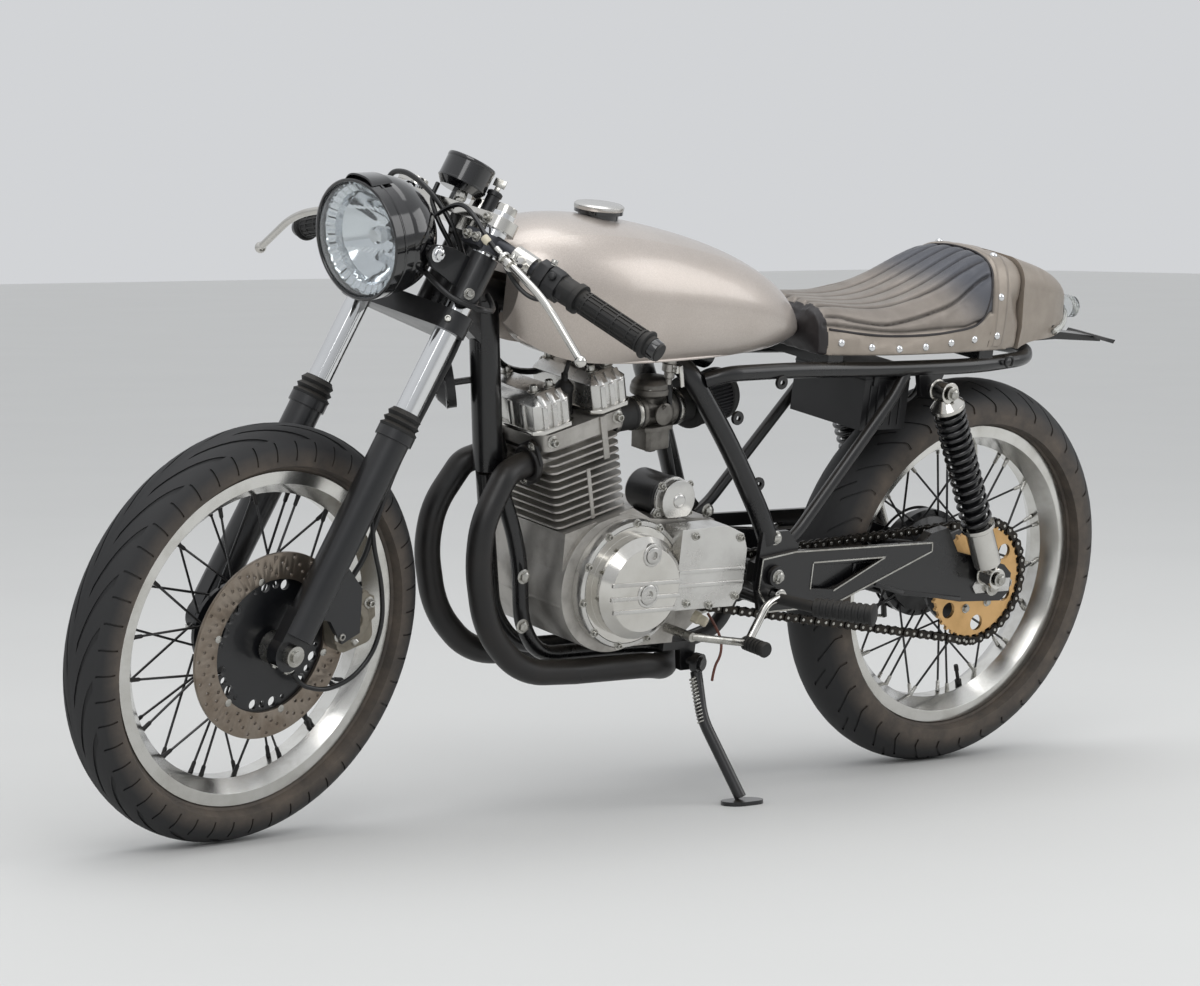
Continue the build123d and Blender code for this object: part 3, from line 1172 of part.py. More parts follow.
# Everything is put where it stands, leaned onto its stand, with the origin under the middle of its box
groups = [
    (front_wheel_place, {
        "front_tyre": front_tyre, "front_rim": front_rim, "front_hub": front_hub,
        "front_disc": front_disc,
    }),
    (rear_wheel_place, {
        "rear_tyre": rear_tyre, "rear_rim": rear_rim, "rear_hub": rear_hub,
        "rear_sprocket": rear_sprocket,
        "rear_axle": rear_axle, "rear_brake": rear_brake,
    }),
    (steering_place, {
        "fork_tubes": fork_tubes, "fork_sliders": fork_sliders, "fork_boots": fork_boots,
        "bottom_yoke": bottom_yoke, "top_yoke": top_yoke, "headlight_brackets": headlight_brackets,
        "headlight_shell": headlight_shell, "headlight_lens": headlight_lens, "speedometer": speedometer,
        "clip_ons": clip_ons, "hand_controls": hand_controls, "levers": levers, "front_axle": front_axle,
        "brake_caliper": brake_caliper, "front_cables": front_cables,
    }),
    (Pos(0, 0, 0), {
        "frame_spine": frame_spine, "frame_cradle": frame_cradle, "frame_uprights": frame_uprights,
        "seat_rails": seat_rails, "swingarm": swingarm, "engine_case": engine_case, "cylinder": cylinder,
        "cylinder_head": cylinder_head, "cam_covers": cam_covers, "generator_cover": generator_cover,
        "sprocket_cover": sprocket_cover, "clutch_cover": clutch_cover, "carburettor": carburettor,
        "air_filter": air_filter, "exhaust": exhaust, "fuel_tank": fuel_tank, "fuel_cap": fuel_cap,
        "seat_pad": seat_pad, "tail_cowl": tail_cowl, "tail_lamp": tail_lamp,
        "plate_bracket": plate_bracket,
        "shock_bodies": shock_bodies, "shock_springs": shock_springs, "peg_plates": peg_plates,
        "foot_pegs": foot_pegs, "foot_controls": foot_controls, "drive_chain": drive_chain,
        "electrics": electrics, "stand_leg": stand_leg,
    }),
]
lean = Rot(-LEAN, 0, 0)
leaned = {}
for place, builders in groups:
    for name, builder in builders.items():
        leaned[name] = lean * place * builder.part
boxes = [piece.bounding_box() for piece in leaned.values()]
middle_x = (min(box.min.X for box in boxes) + max(box.max.X for box in boxes)) / 2
middle_y = (min(box.min.Y for box in boxes) + max(box.max.Y for box in boxes)) / 2
lowest = min(box.min.Z for box in boxes)
standing = Pos(-middle_x, -middle_y, -lowest)
for name, piece in leaned.items():
    piece = standing * piece
    piece.label = name
    export_step(piece, f"parts/{name}.step")
print("brake hose radii", [round(radius) for radius in corner_radii(BRAKE_HOSE)])
print("speedometer cable radii", [round(radius) for radius in corner_radii(SPEEDOMETER_CABLE)])
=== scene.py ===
import bpy
import json
from math import atan2, cos, degrees, exp, hypot, pi, radians, sin, sqrt
from mathutils import Matrix, Vector


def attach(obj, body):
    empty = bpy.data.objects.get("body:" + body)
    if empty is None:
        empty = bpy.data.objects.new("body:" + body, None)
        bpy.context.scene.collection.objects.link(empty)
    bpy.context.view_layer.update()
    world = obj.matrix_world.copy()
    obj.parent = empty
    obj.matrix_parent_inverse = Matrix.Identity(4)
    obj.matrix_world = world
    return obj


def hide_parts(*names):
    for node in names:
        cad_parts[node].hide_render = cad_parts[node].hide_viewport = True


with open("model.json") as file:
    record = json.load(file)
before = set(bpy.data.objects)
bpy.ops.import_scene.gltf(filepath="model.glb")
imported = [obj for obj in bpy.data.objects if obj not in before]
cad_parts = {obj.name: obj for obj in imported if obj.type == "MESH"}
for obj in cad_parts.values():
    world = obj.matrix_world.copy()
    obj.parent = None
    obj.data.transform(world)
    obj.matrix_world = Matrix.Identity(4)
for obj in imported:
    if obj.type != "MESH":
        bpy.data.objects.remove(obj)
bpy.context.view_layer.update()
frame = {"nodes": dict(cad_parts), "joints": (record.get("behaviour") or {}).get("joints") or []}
nodes = frame["nodes"]

# Sizes shared with the solids, in millimetres. A pair is an X and a Z.
WHEELBASE = 1360
RAKE = 26
FORK_OFFSET = 46
STEERED_LEFT = 6.1
LEAN = 10
FRONT_RADIUS = 303
REAR_RADIUS = 313
LEG_SPREAD = 93
CYLINDER_FOOT = (812, 456)
CYLINDER_TILT = 15
DRIVE_SHAFT = (565, 345)
CHAIN_Y = 75
GENERATOR = (756, 364)
CLUTCH = (752, 358)
FILLER_X = 800
STARTER = (666, 481)
SHOCK_TOP = (179, 637)
SHOCK_FOOT = (22, 334)
SHOCK_Y = 129
LAMP_FRONT = (190, 0, 552)
LAMP_DEPTH = 112
RIM_WELL = 207
PEG_PLATE_Y = 121.2
RESERVOIR_Y = -150
GAUGE_X = 56
FORWARD, BACKWARD, LEFT, RIGHT, UP, DOWN = (1, 0, 0), (-1, 0, 0), (0, 1, 0), (0, -1, 0), (0, 0, 1), (0, 0, -1)

# Places. Each one takes millimetres in its own frame to metres where the machine stands.
joints = {joint["name"]: joint for joint in frame["joints"]}
upright = Matrix.Rotation(radians(-LEAN), 4, "X")
rear_axle_at = Vector(joints["rear_wheel_spin"]["pos_m"])
machine = Matrix.Translation(rear_axle_at - upright @ Vector((0, 0, REAR_RADIUS / 1000))) @ upright
machine = machine @ Matrix.Scale(0.001, 4)
to_machine = machine.inverted()
rake_turn = Matrix.Rotation(radians(-RAKE), 4, "Y")
steering_foot = Vector((WHEELBASE, 0, FRONT_RADIUS)) - rake_turn @ Vector((FORK_OFFSET, 0, 0))
fork = machine @ Matrix.Translation(steering_foot) @ rake_turn @ Matrix.Rotation(radians(STEERED_LEFT), 4, "Z")
front_wheel = fork @ Matrix.Translation((FORK_OFFSET, 0, 0))
rear_wheel = machine @ Matrix.Translation((0, 0, REAR_RADIUS))
engine = machine @ Matrix.Translation((CYLINDER_FOOT[0], 0, CYLINDER_FOOT[1]))
engine = engine @ Matrix.Rotation(radians(CYLINDER_TILT), 4, "Y")

# Camera: the photograph's view, found from the wheels, the tank and the stand
CAMERA_AT = (4685.9, 4595.4, 1739.7)
CAMERA_TURN = radians(139.321)
CAMERA_RISE = radians(11.803)
CAMERA_ROLL = radians(6.512)
back = Vector((sin(CAMERA_TURN) * cos(CAMERA_RISE), -cos(CAMERA_TURN) * cos(CAMERA_RISE), sin(CAMERA_RISE)))
across = Vector(UP).cross(back).normalized()
above = back.cross(across)
right = across * cos(CAMERA_ROLL) + above * sin(CAMERA_ROLL)
up = above * cos(CAMERA_ROLL) - across * sin(CAMERA_ROLL)
view_turn = upright.to_3x3() @ Matrix((right, up, back)).transposed()
lens = bpy.data.cameras.new("photo_view")
lens.sensor_width = 36
lens.lens = 125.44
lens.clip_end = 60
camera = bpy.data.objects.new("photo_view", lens)
camera.matrix_world = Matrix.Translation(machine @ Vector(CAMERA_AT)) @ view_turn.to_4x4()
bpy.context.scene.collection.objects.link(camera)
bpy.context.scene.camera = camera
bpy.context.scene.view_settings.view_transform = "Standard"


# Turns an sRGB hex colour into linear values.
def linear(code):
    parts = [int(code[i:i + 2], 16) / 255 for i in (1, 3, 5)]
    return (*[part / 12.92 if part <= 0.04045 else ((part + 0.055) / 1.055) ** 2.4 for part in parts], 1)


# Fills a node's sockets with values or with links.
def filled(tree, node, sockets):
    for name, value in sockets.items():
        if isinstance(value, bpy.types.NodeSocket):
            tree.links.new(value, node.inputs[name])
        else:
            node.inputs[name].default_value = value
    return node


# Adds one shader node with its settings and its sockets.
def add_node(tree, kind, settings={}, sockets={}):
    node = tree.nodes.new(kind)
    for name, value in settings.items():
        setattr(node, name, value)
    return filled(tree, node, sockets)


# Starts a material and gives its node tree, its shader and its object coordinates in metres.
def new_material(name):
    material = bpy.data.materials.new(name)
    material.use_nodes = True
    tree = material.node_tree
    place = add_node(tree, "ShaderNodeTexCoord").outputs["Object"]
    return material, tree, tree.nodes["Principled BSDF"], place


# Noise with a grain in millimetres.
def noise(tree, place, grain, detail=3, roughness=0.5):
    sockets = {"Vector": place, "Scale": 1000 / grain, "Detail": detail, "Roughness": roughness}
    return add_node(tree, "ShaderNodeTexNoise", {}, sockets).outputs["Fac"]


# Takes a value from one range to another.
def ranged(tree, value, low, high, to_low=0, to_high=1, kind="LINEAR"):
    return add_node(tree, "ShaderNodeMapRange", {"interpolation_type": kind}, {
        "Value": value, "From Min": low, "From Max": high, "To Min": to_low, "To Max": to_high,
    }).outputs["Result"]


# Mixes two colours, each one a hex colour or a socket.
def mixed(tree, share, *colours):
    first, second = [linear(colour) if isinstance(colour, str) else colour for colour in colours]
    sockets = {"Factor": share, "A": first, "B": second}
    return add_node(tree, "ShaderNodeMix", {"data_type": "RGBA"}, sockets).outputs["Result"]


def vector_node(tree, operation, sockets, result="Vector"):
    return add_node(tree, "ShaderNodeVectorMath", {"operation": operation}, sockets).outputs[result]


# Raises a surface by a height's share of a depth in metres.
def bumped(tree, height, depth, sockets={}):
    return add_node(tree, "ShaderNodeBump", {}, {
        "Strength": 1, "Distance": depth, "Height": height, **sockets,
    }).outputs["Normal"]


# Finishes that are one skin all over: a main colour, the colour it wears to, and the grain of its surface.
# Mottle, grain, depth and edge are real sizes in millimetres.
def skin(name, colour, worn, metallic, rough, spread, mottle, share, grain, depth, edge, coat=0, dust=0):
    material, tree, shader, place = new_material(name)
    patches = noise(tree, place, mottle, 6, 0.62)
    tone = mixed(tree, ranged(tree, patches, 0.42, 0.72, 0, share), colour, worn)
    if dust:
        normal = add_node(tree, "ShaderNodeNewGeometry").outputs["Normal"]
        facing = add_node(tree, "ShaderNodeSeparateXYZ", {}, {"Vector": normal}).outputs["Z"]
        tone = mixed(tree, ranged(tree, facing, 0.2, 1, 0, dust), tone, "#8a8073")
    rounded = add_node(tree, "ShaderNodeBevel", {"samples": 4}, {"Radius": edge / 1000}).outputs["Normal"]
    filled(tree, shader, {
        "Base Color": tone, "Roughness": ranged(tree, patches, 0.3, 0.7, rough - spread, rough + spread),
        "Normal": bumped(tree, noise(tree, place, grain), depth / 1000, {"Normal": rounded}),
        "Metallic": metallic, "Coat Weight": coat, "Coat Roughness": 0.06,
    })
    return material


# Satin black stove enamel on frame tube: smooth, a little grey where it is dusty
frame_enamel = skin("stove_enamel", "#0d0d0f", "#1b1a1a", 0, 0.3, 0.07, 80, 0.5, 2.0, 0.02, 1.0, 0.25, 0.1)
# Gloss black paint on lamp shell and gauge cup
gloss_black = skin("gloss_black_paint", "#0b0b0d", "#141416", 0, 0.12, 0.04, 90, 0.3, 4.0, 0.005, 0.8, 0.8)
# Satin powder coat on fork sliders: fine orange peel
slider_coat = skin("powder_coat", "#0f1013", "#1b1c1f", 0, 0.34, 0.06, 60, 0.4, 1.6, 0.03, 1.0, 0.2, 0.08)
# Anodised dark grey aluminium of the bars and their clamps
grey_anodised = skin("dark_anodised_aluminium", "#3b3c40", "#55565a", 0.75, 0.36, 0.08, 40, 0.4, 0.8, 0.015, 0.8)
# Black engineering plastic of switches and boxes: faint moulded grain
black_plastic = skin("moulded_abs", "#101012", "#1c1c1e", 0, 0.42, 0.06, 50, 0.4, 0.9, 0.04, 0.8)
# Rubber of grips, boots and sleeves: matt with a grey bloom
black_rubber = skin("moulded_rubber", "#131313", "#2a2927", 0, 0.62, 0.1, 30, 0.5, 0.7, 0.05, 0.6, 0, 0.1)
# Gloss black vinyl sheath of cables
cable_sheath = skin("vinyl_sheath", "#0f0f10", "#1b1b1c", 0, 0.3, 0.05, 40, 0.3, 1.0, 0.01, 0.3)
# Hard chrome plate on the fork tubes
chrome_plate = skin("chrome_plate", "#dedfe0", "#c9cacc", 1.0, 0.06, 0.02, 120, 0.3, 6.0, 0.002, 0.5)
# Zinc die casting of the carburettor, darker than the engine's aluminium
carburettor_zinc = skin("carburettor_zinc", "#77746f", "#4b4844", 0.8, 0.4, 0.1, 20, 0.6, 1.0, 0.06, 0.6)
# Sand-cast aluminium of crankcase and cylinder, blasted and dulled by age
cast_alloy = skin("sand_cast_aluminium", "#b3b0ab", "#7f7b75", 0.85, 0.42, 0.1, 45, 0.6, 1.2, 0.1, 0.9)
# Die-cast aluminium of side covers: smoother and lighter
cover_alloy = skin("die_cast_aluminium", "#cfcecb", "#a8a5a0", 0.95, 0.25, 0.07, 55, 0.45, 2.5, 0.02, 1.0, 0.1)
# Hand-polished aluminium: soft long reflections, slight haze
polished_alloy = skin("polished_aluminium", "#d3d1cc", "#b2aea6", 1.0, 0.14, 0.06, 50, 0.4, 5.0, 0.004, 1.0)
# Rim aluminium: polished, with road dust
rim_alloy = skin("polished_rim_aluminium", "#d8d7d3", "#a9a59c", 1.0, 0.2, 0.08, 60, 0.5, 2.0, 0.006, 0.6)
# Zinc-plated steel of bolts, nuts and axles
zinc_steel = skin("zinc_plated_steel", "#b9b8b3", "#7f7a70", 1.0, 0.28, 0.1, 12, 0.6, 1.0, 0.02, 0.4)
# Burnished steel of the brake ring, brown with old rust film
brake_steel = skin("burnished_cast_steel", "#8f857a", "#6a5a49", 0.85, 0.36, 0.08, 35, 0.6, 1.5, 0.02, 0.4)
# Gold anodised aluminium of the rear sprocket
gold_anodised = skin("gold_anodised_aluminium", "#d9b07a", "#b08d58", 0.85, 0.36, 0.08, 40, 0.5, 1.0, 0.01, 0.6)
# Oiled black steel of the chain
chain_steel = skin("oiled_chain_steel", "#2a2826", "#4a4238", 0.85, 0.36, 0.12, 8, 0.6, 1.5, 0.03, 0.4)
# Painted caliper: grey with a yellow cast where the paint has aged
caliper_paint = skin("aged_silver_paint", "#7d776b", "#5c5446", 0.35, 0.45, 0.1, 25, 0.6, 1.0, 0.06, 1.2, 0, 0.2)
# High-temperature black paint on the headers: dry and slightly brown near the ports
exhaust_black = skin("heat_proof_paint", "#100f0f", "#231e1b", 0, 0.42, 0.1, 70, 0.6, 1.0, 0.05, 0.8, 0, 0.1)
# Spring steel under gloss black paint
spring_paint = skin("gloss_spring_paint", "#0f0f11", "#1d1d1f", 0, 0.2, 0.05, 40, 0.3, 3.0, 0.01, 0.5, 0.4)
# Oiled cotton gauze of the pod filter
filter_gauze = skin("oiled_cotton_gauze", "#17171a", "#26262a", 0, 0.8, 0.1, 10, 0.5, 0.8, 0.25, 0.5)
# Black coat of the front nipples, chalky where it is worn
spoke_black = skin("black_spoke_coat", "#18181a", "#38342f", 0.4, 0.4, 0.1, 15, 0.5, 1.5, 0.02, 0.3)
# Vacuum-plated reflector: mirror bright, with the soft waves of a pressed dish
reflector_plate = skin("vacuum_plated_reflector", "#e6e8ea", "#cfd2d5", 1.0, 0.08, 0.03, 30, 0.4, 6.0, 0.02, 0.3)
# Cream nylon of the cable's collar and of the neutral switch
cream_nylon = skin("cream_nylon", "#cfc7b2", "#a89c83", 0, 0.45, 0.08, 15, 0.5, 1.0, 0.02, 0.4)
# Copper-brown drain hose
drain_hose = skin("amber_rubber_hose", "#6b3d30", "#452822", 0, 0.45, 0.08, 15, 0.5, 1.0, 0.02, 0.3)
# Printed gauge dial
dial_white = skin("printed_dial", "#e8e6df", "#d2cfc5", 0, 0.4, 0.05, 20, 0.3, 1.0, 0.0, 0.2)

# Champagne metallic paint under clear lacquer: aluminium flake a fraction of a millimetre across,
# drawn at 0.7 mm so that it shows as a soft sparkle
tank_paint, tree, shader, place = new_material("champagne_metallic_paint")
flake = add_node(tree, "ShaderNodeTexVoronoi", {}, {"Vector": place, "Scale": 1000 / 0.7}).outputs["Color"]
clouds = ranged(tree, noise(tree, place, 140, 5), 0.4, 0.7, 0, 0.35)
filled(tree, shader, {
    "Base Color": mixed(tree, clouds, mixed(tree, flake, "#b1a79f", "#ccc3bb"), "#a2978d"),
    "Metallic": 0.62, "Roughness": 0.36, "Coat Weight": 0.75, "Coat Roughness": 0.12,
})

# Where the painted shade and reflection on the seat's hump begin, and where they are full: the vinyl is painted
# bluish dark there
HUMP_SHADE_FOOT = (185, 0, 765)
HUMP_SHADE_TOP = (95, 0, 790)


# Vinyl with a fine leather-like emboss: cells about 1.6 mm across, and a metallic print that lifts highlights.
def vinyl(name, colour, crease, metallic, rough, hump_shade=None):
    material, tree, shader, place = new_material(name)
    cells = add_node(tree, "ShaderNodeTexVoronoi", {"feature": "DISTANCE_TO_EDGE"}, {
        "Vector": place, "Scale": 1000 / 1.6,
    }).outputs["Distance"]
    broad = noise(tree, place, 35, 5)
    tone = mixed(tree, ranged(tree, broad, 0.35, 0.7, 0, 0.6), colour, crease)
    # Painted shade and reflection: up and back over the hump the tone darkens to a bluish grey
    if hump_shade:
        climb = to_machine.row[2].xyz * 0.001 - to_machine.row[0].xyz * 0.001 * 0.9
        climbed = vector_node(tree, "DOT_PRODUCT", {0: place, 1: climb}, "Value")
        start, end = [climb.dot(machine @ Vector(spot)) for spot in (HUMP_SHADE_FOOT, HUMP_SHADE_TOP)]
        tone = mixed(tree, ranged(tree, climbed, start, end, 0, 0.9, "SMOOTHSTEP"), tone, hump_shade)
    sewn = add_node(tree, "ShaderNodeAttribute", {"attribute_name": "stitch"}).outputs["Fac"]
    filled(tree, shader, {
        "Base Color": mixed(tree, sewn, tone, "#1f1b1a"),
        "Roughness": ranged(tree, broad, 0.3, 0.7, rough - 0.06, rough + 0.08),
        "Normal": bumped(tree, ranged(tree, cells, 0, 0.12), 0.00012, {"Strength": 0.5}), "Metallic": metallic,
    })
    return material


# Bronze-grey vinyl with a pearl print on the pleated top, darkening to a bluish grey over the hump as painted
# shade and reflection; bronze-grey on the skirt; near-black at the nose as painted shadow under the tank, and on
# the piping
pleat_vinyl = vinyl("pearl_vinyl_with_painted_hump_shade", "#8f877f", "#777069", 0.4, 0.36, "#474b54")
skirt_vinyl = vinyl("bronze_pearl_vinyl", "#a1978c", "#8b8278", 0.4, 0.36)
piping_and_nose_shadow_vinyl = vinyl("black_vinyl", "#2a2627", "#1d1b1c", 0.15, 0.4)


# Tyre rubber: black crown, and sidewalls brown with dust that thickens towards the bead.
def tyre_rubber(name, wheel, radius):
    material, tree, shader, place = new_material(name)
    axis = (wheel.to_3x3() @ Vector(LEFT)).normalized()
    from_axle = vector_node(tree, "SUBTRACT", {0: place, 1: wheel.to_translation()})
    along = vector_node(tree, "DOT_PRODUCT", {0: from_axle, 1: axis}, "Value")
    beside = vector_node(tree, "SCALE", {0: axis, "Scale": along})
    outwards = vector_node(tree, "SUBTRACT", {0: from_axle, 1: beside})
    reach = vector_node(tree, "LENGTH", {0: outwards}, "Value")
    wall = ranged(tree, reach, (radius - 22) / 1000, (radius - 48) / 1000)
    dusty = ranged(tree, noise(tree, place, 45, 7, 0.7), 0.25, 0.75, 0.15, 0.75)
    share = add_node(tree, "ShaderNodeMath", {"operation": "MULTIPLY"}, {0: wall, 1: dusty}).outputs["Value"]
    filled(tree, shader, {
        "Base Color": mixed(tree, share, "#232324", "#6e6256"), "Roughness": 0.66,
        "Normal": bumped(tree, noise(tree, place, 1.1, 4), 0.00006),
    })
    return material


front_rubber = tyre_rubber("front_tyre_rubber", front_wheel, FRONT_RADIUS)
rear_rubber = tyre_rubber("rear_tyre_rubber", rear_wheel, REAR_RADIUS)

# Clear polycarbonate of the headlamp and the tail lamp, faintly scratched
lamp_glass, tree, shader, place = new_material("clear_polycarbonate")
filled(tree, shader, {
    "Roughness": ranged(tree, noise(tree, place, 3, 4), 0.5, 0.8, 0, 0.03), "Base Color": linear("#f4f7f8"),
    "Transmission Weight": 0.96, "IOR": 1.3,
})

dressed = {
    frame_enamel: (
        "frame_spine", "frame_cradle", "frame_uprights", "seat_rails", "swingarm", "plate_bracket", "peg_plates",
        "stand_leg", "rear_brake",
    ),
    slider_coat: ("fork_sliders", "bottom_yoke", "front_hub", "rear_hub", "headlight_brackets"),
    gloss_black: ("headlight_shell", "speedometer", "fuel_cap"),
    black_plastic: ("electrics",),
    black_rubber: ("fork_boots", "hand_controls", "foot_pegs"),
    cable_sheath: ("front_cables",),
    chrome_plate: ("fork_tubes",),
    polished_alloy: ("top_yoke", "levers", "generator_cover", "shock_bodies"),
    rim_alloy: ("front_rim", "rear_rim"),
    zinc_steel: ("front_axle", "rear_axle", "foot_controls"),
    brake_steel: ("front_disc",),
    gold_anodised: ("rear_sprocket",),
    chain_steel: ("drive_chain",),
    caliper_paint: ("brake_caliper",),
    exhaust_black: ("exhaust",),
    spring_paint: ("shock_springs",),
    filter_gauze: ("air_filter",),
    grey_anodised: ("clip_ons",),
    cast_alloy: ("engine_case", "cylinder", "cylinder_head"),
    carburettor_zinc: ("carburettor",),
    cover_alloy: ("cam_covers", "sprocket_cover", "clutch_cover"),
    tank_paint: ("fuel_tank",),
    lamp_glass: ("headlight_lens", "tail_lamp"),
    skirt_vinyl: ("seat_pad", "tail_cowl"),
    front_rubber: ("front_tyre",),
    rear_rubber: ("rear_tyre",),
}
for material, names in dressed.items():
    for name in names:
        nodes[name].data.materials.clear()
        nodes[name].data.materials.append(material)
for name, piece in nodes.items():
    if not piece.data.materials:
        raise ValueError(f"{name} has no finish")

# Floor, backdrop and soft lamps
bpy.ops.object.select_all(action="DESELECT")
bpy.ops.mesh.primitive_plane_add(size=60)
floor = bpy.context.active_object
floor.name = "studio_floor"
floor_paint, tree, shader, place = new_material("studio_floor_paint")
cloudy = noise(tree, place, 1000 / 1.2)
filled(tree, shader, {"Base Color": mixed(tree, cloudy, "#cdcdcb", "#d2d2d0"), "Roughness": 0.7})
floor.data.materials.append(floor_paint)

world = bpy.data.worlds.new("studio_sky")
bpy.context.scene.world = world
world.use_nodes = True
sky = world.node_tree
ray = add_node(sky, "ShaderNodeLightPath")
seen = add_node(sky, "ShaderNodeMath", {"operation": "MAXIMUM"}, {
    0: ray.outputs["Is Camera Ray"], 1: ray.outputs["Is Transmission Ray"],
}).outputs["Value"]
direction = add_node(sky, "ShaderNodeTexCoord").outputs["Generated"]
height = add_node(sky, "ShaderNodeSeparateXYZ", {}, {"Vector": direction}).outputs["Z"]
shade = add_node(sky, "ShaderNodeMix", {"data_type": "FLOAT"}, {
    "Factor": seen, "A": ranged(sky, height, -0.05, 0.9, 0.55, 0.95), "B": 0.7,
}).outputs["Result"]
filled(sky, sky.nodes["Background"], {"Strength": shade, "Color": linear("#f6f8fb")})

LAMPS_AIM_AT = Vector((0, 0, 0.45))
for name, at, size, power in (
    ("key_softbox", (3.2, 3.6, 4.2), 3.2, 84),
    ("fill_softbox", (-3.8, 3.0, 2.6), 3.0, 46),
    ("top_softbox", (0, 0.2, 5.0), 3.6, 60),
):
    lamp = bpy.data.lights.new(name, "AREA")
    lamp.size = size
    lamp.energy = power
    stand = bpy.data.objects.new(name, lamp)
    stand.location = at
    stand.rotation_mode = "QUATERNION"
    stand.rotation_quaternion = (Vector(at) - LAMPS_AIM_AT).to_track_quat("Z", "Y")
    bpy.context.scene.collection.objects.link(stand)


# Leaves edit mode and selects only these pieces, the first one active.
def chosen(*pieces):
    if bpy.context.object and bpy.context.object.mode != "OBJECT":
        bpy.ops.object.mode_set(mode="OBJECT")
    bpy.ops.object.select_all(action="DESELECT")
    for piece in pieces:
        piece.select_set(True)
        bpy.context.view_layer.objects.active = pieces[0]


# Opens the active piece for editing, with all of it selected.
def opened():
    bpy.ops.object.mode_set(mode="EDIT")
    bpy.ops.mesh.select_mode(type="VERT")
    bpy.ops.mesh.select_all(action="SELECT")


# Welds points that meet, turns the faces outwards and ends the editing.
def welded(distance=0):
    bpy.ops.mesh.select_all(action="SELECT")
    if distance:
        bpy.ops.mesh.remove_doubles(threshold=distance)
    bpy.ops.mesh.normals_make_consistent(inside=False)
    bpy.ops.object.mode_set(mode="OBJECT")


# Selects the faces of the active piece that pass a test.
def choose_faces(piece, test):
    bpy.ops.object.mode_set(mode="EDIT")
    bpy.ops.mesh.select_mode(type="FACE")
    bpy.ops.mesh.select_all(action="DESELECT")
    bpy.ops.object.mode_set(mode="OBJECT")
    for face in piece.data.polygons:
        face.select = test(face)


# Turns Z towards a direction, at a point.
def aim(at, direction=UP):
    return Matrix.Translation(at) @ Vector(direction).to_track_quat("Z", "Y").to_matrix().to_4x4()


# Places of pieces whose Z lies along the machine's left or right, on the axles and the engine's sides.
def leftward(x, y, z):
    return Matrix.Translation((x, y, z)) @ Matrix.Rotation(radians(-90), 4, "X")


def rightward(x, y, z):
    return Matrix.Translation((x, y, z)) @ Matrix.Rotation(radians(90), 4, "X")


# Points of a circle at angles in degrees.
def polar(radius, angle):
    return radius * cos(radians(angle)), radius * sin(radians(angle))


def placed(piece, place):
    piece.data.transform(place)
    return piece


def moved(piece, x, y, z):
    return placed(piece, Matrix.Translation((x, y, z)))


# Round piece about Z: a ring of points drawn out and scaled from each radius and height to the next.
def turned(rings, sides=40):
    chosen()
    rings = [(max(radius, 0.01), height) for radius, height in rings]
    radius, height = rings[0]
    bpy.ops.mesh.primitive_circle_add(vertices=sides, radius=radius)
    piece = bpy.context.active_object
    opened()
    bpy.ops.transform.translate(value=(0, 0, height))
    for next_radius, next_height in rings[1:]:
        bpy.ops.mesh.extrude_region_move(TRANSFORM_OT_translate={"value": (0, 0, next_height - height)})
        growth = next_radius / radius
        bpy.ops.transform.resize(value=(growth, growth, 1), center_override=(0, 0, next_height))
        radius, height = next_radius, next_height
    welded(0.03)
    return piece


# Flat piece with an outline in X and Y, drawn out along Z.
def plate(outline, thickness):
    chosen()
    bpy.ops.mesh.primitive_circle_add(vertices=len(outline), radius=1, fill_type="NGON")
    piece = bpy.context.active_object
    for vertex, (x, y) in zip(piece.data.vertices, outline):
        vertex.co = (x, y, 0)
    opened()
    bpy.ops.mesh.extrude_region_move(TRANSFORM_OT_translate={"value": (0, 0, thickness)})
    welded()
    return piece


def oblong(width, depth):
    return [(-width / 2, -depth / 2), (width / 2, -depth / 2), (width / 2, depth / 2), (-width / 2, depth / 2)]


# Side plate: an outline in X and Z, drawn out from one Y to another.
def side_plate(outline, y_from, y_to):
    return placed(plate([(x, -z) for x, z in outline], y_to - y_from), leftward(0, y_from, 0))


# Straight bar with an oblong section from one point to another, its broad side across the given direction.
def bar(start, end, width, depth, out):
    start, end, out = Vector(start), Vector(end), Vector(out).normalized()
    along = (end - start).normalized()
    turn = Matrix((out.cross(along), out, along)).transposed().to_4x4()
    return placed(plate(oblong(width, depth), (end - start).length), Matrix.Translation(start) @ turn)


# Round tube along a smooth line through its control points.
def tube(points, radius, rounding=2, smooth=6, closed=False):
    chosen()
    bpy.ops.curve.primitive_nurbs_path_add()
    path = bpy.context.active_object
    path.data.splines.clear()
    spline = path.data.splines.new("NURBS")
    spline.points.add(len(points) - 1)
    for point, at in zip(spline.points, points):
        point.co = (*at, 1)
    spline.order_u = 3
    spline.use_endpoint_u = not closed
    spline.use_cyclic_u = closed
    spline.resolution_u = smooth
    path.data.bevel_depth = radius
    path.data.bevel_resolution = rounding
    path.data.use_fill_caps = not closed
    bpy.ops.object.convert(target="MESH")
    return bpy.context.active_object


# Copies a small piece to many places and joins the copies.
def scattered(master, places):
    chosen()
    for place in places:
        copy = placed(bpy.data.objects.new(master.name, master.data.copy()), place)
        bpy.context.scene.collection.objects.link(copy)
        copy.select_set(True)
        bpy.context.view_layer.objects.active = copy
    bpy.data.objects.remove(master)
    bpy.ops.object.join()
    return bpy.context.active_object


# Joins pieces into one.
def joined(*pieces):
    chosen(*pieces)
    bpy.ops.object.join()
    return bpy.context.active_object


MIRROR = Matrix.Diagonal((1, -1, 1, 1))


# Places round a circle in a side plane, each one facing out.
def bolt_circle(centre, y, radius, angles, out):
    points = [polar(radius, angle) for angle in angles]
    return [aim((centre[0] + x, y, centre[1] + z), out) for x, z in points]


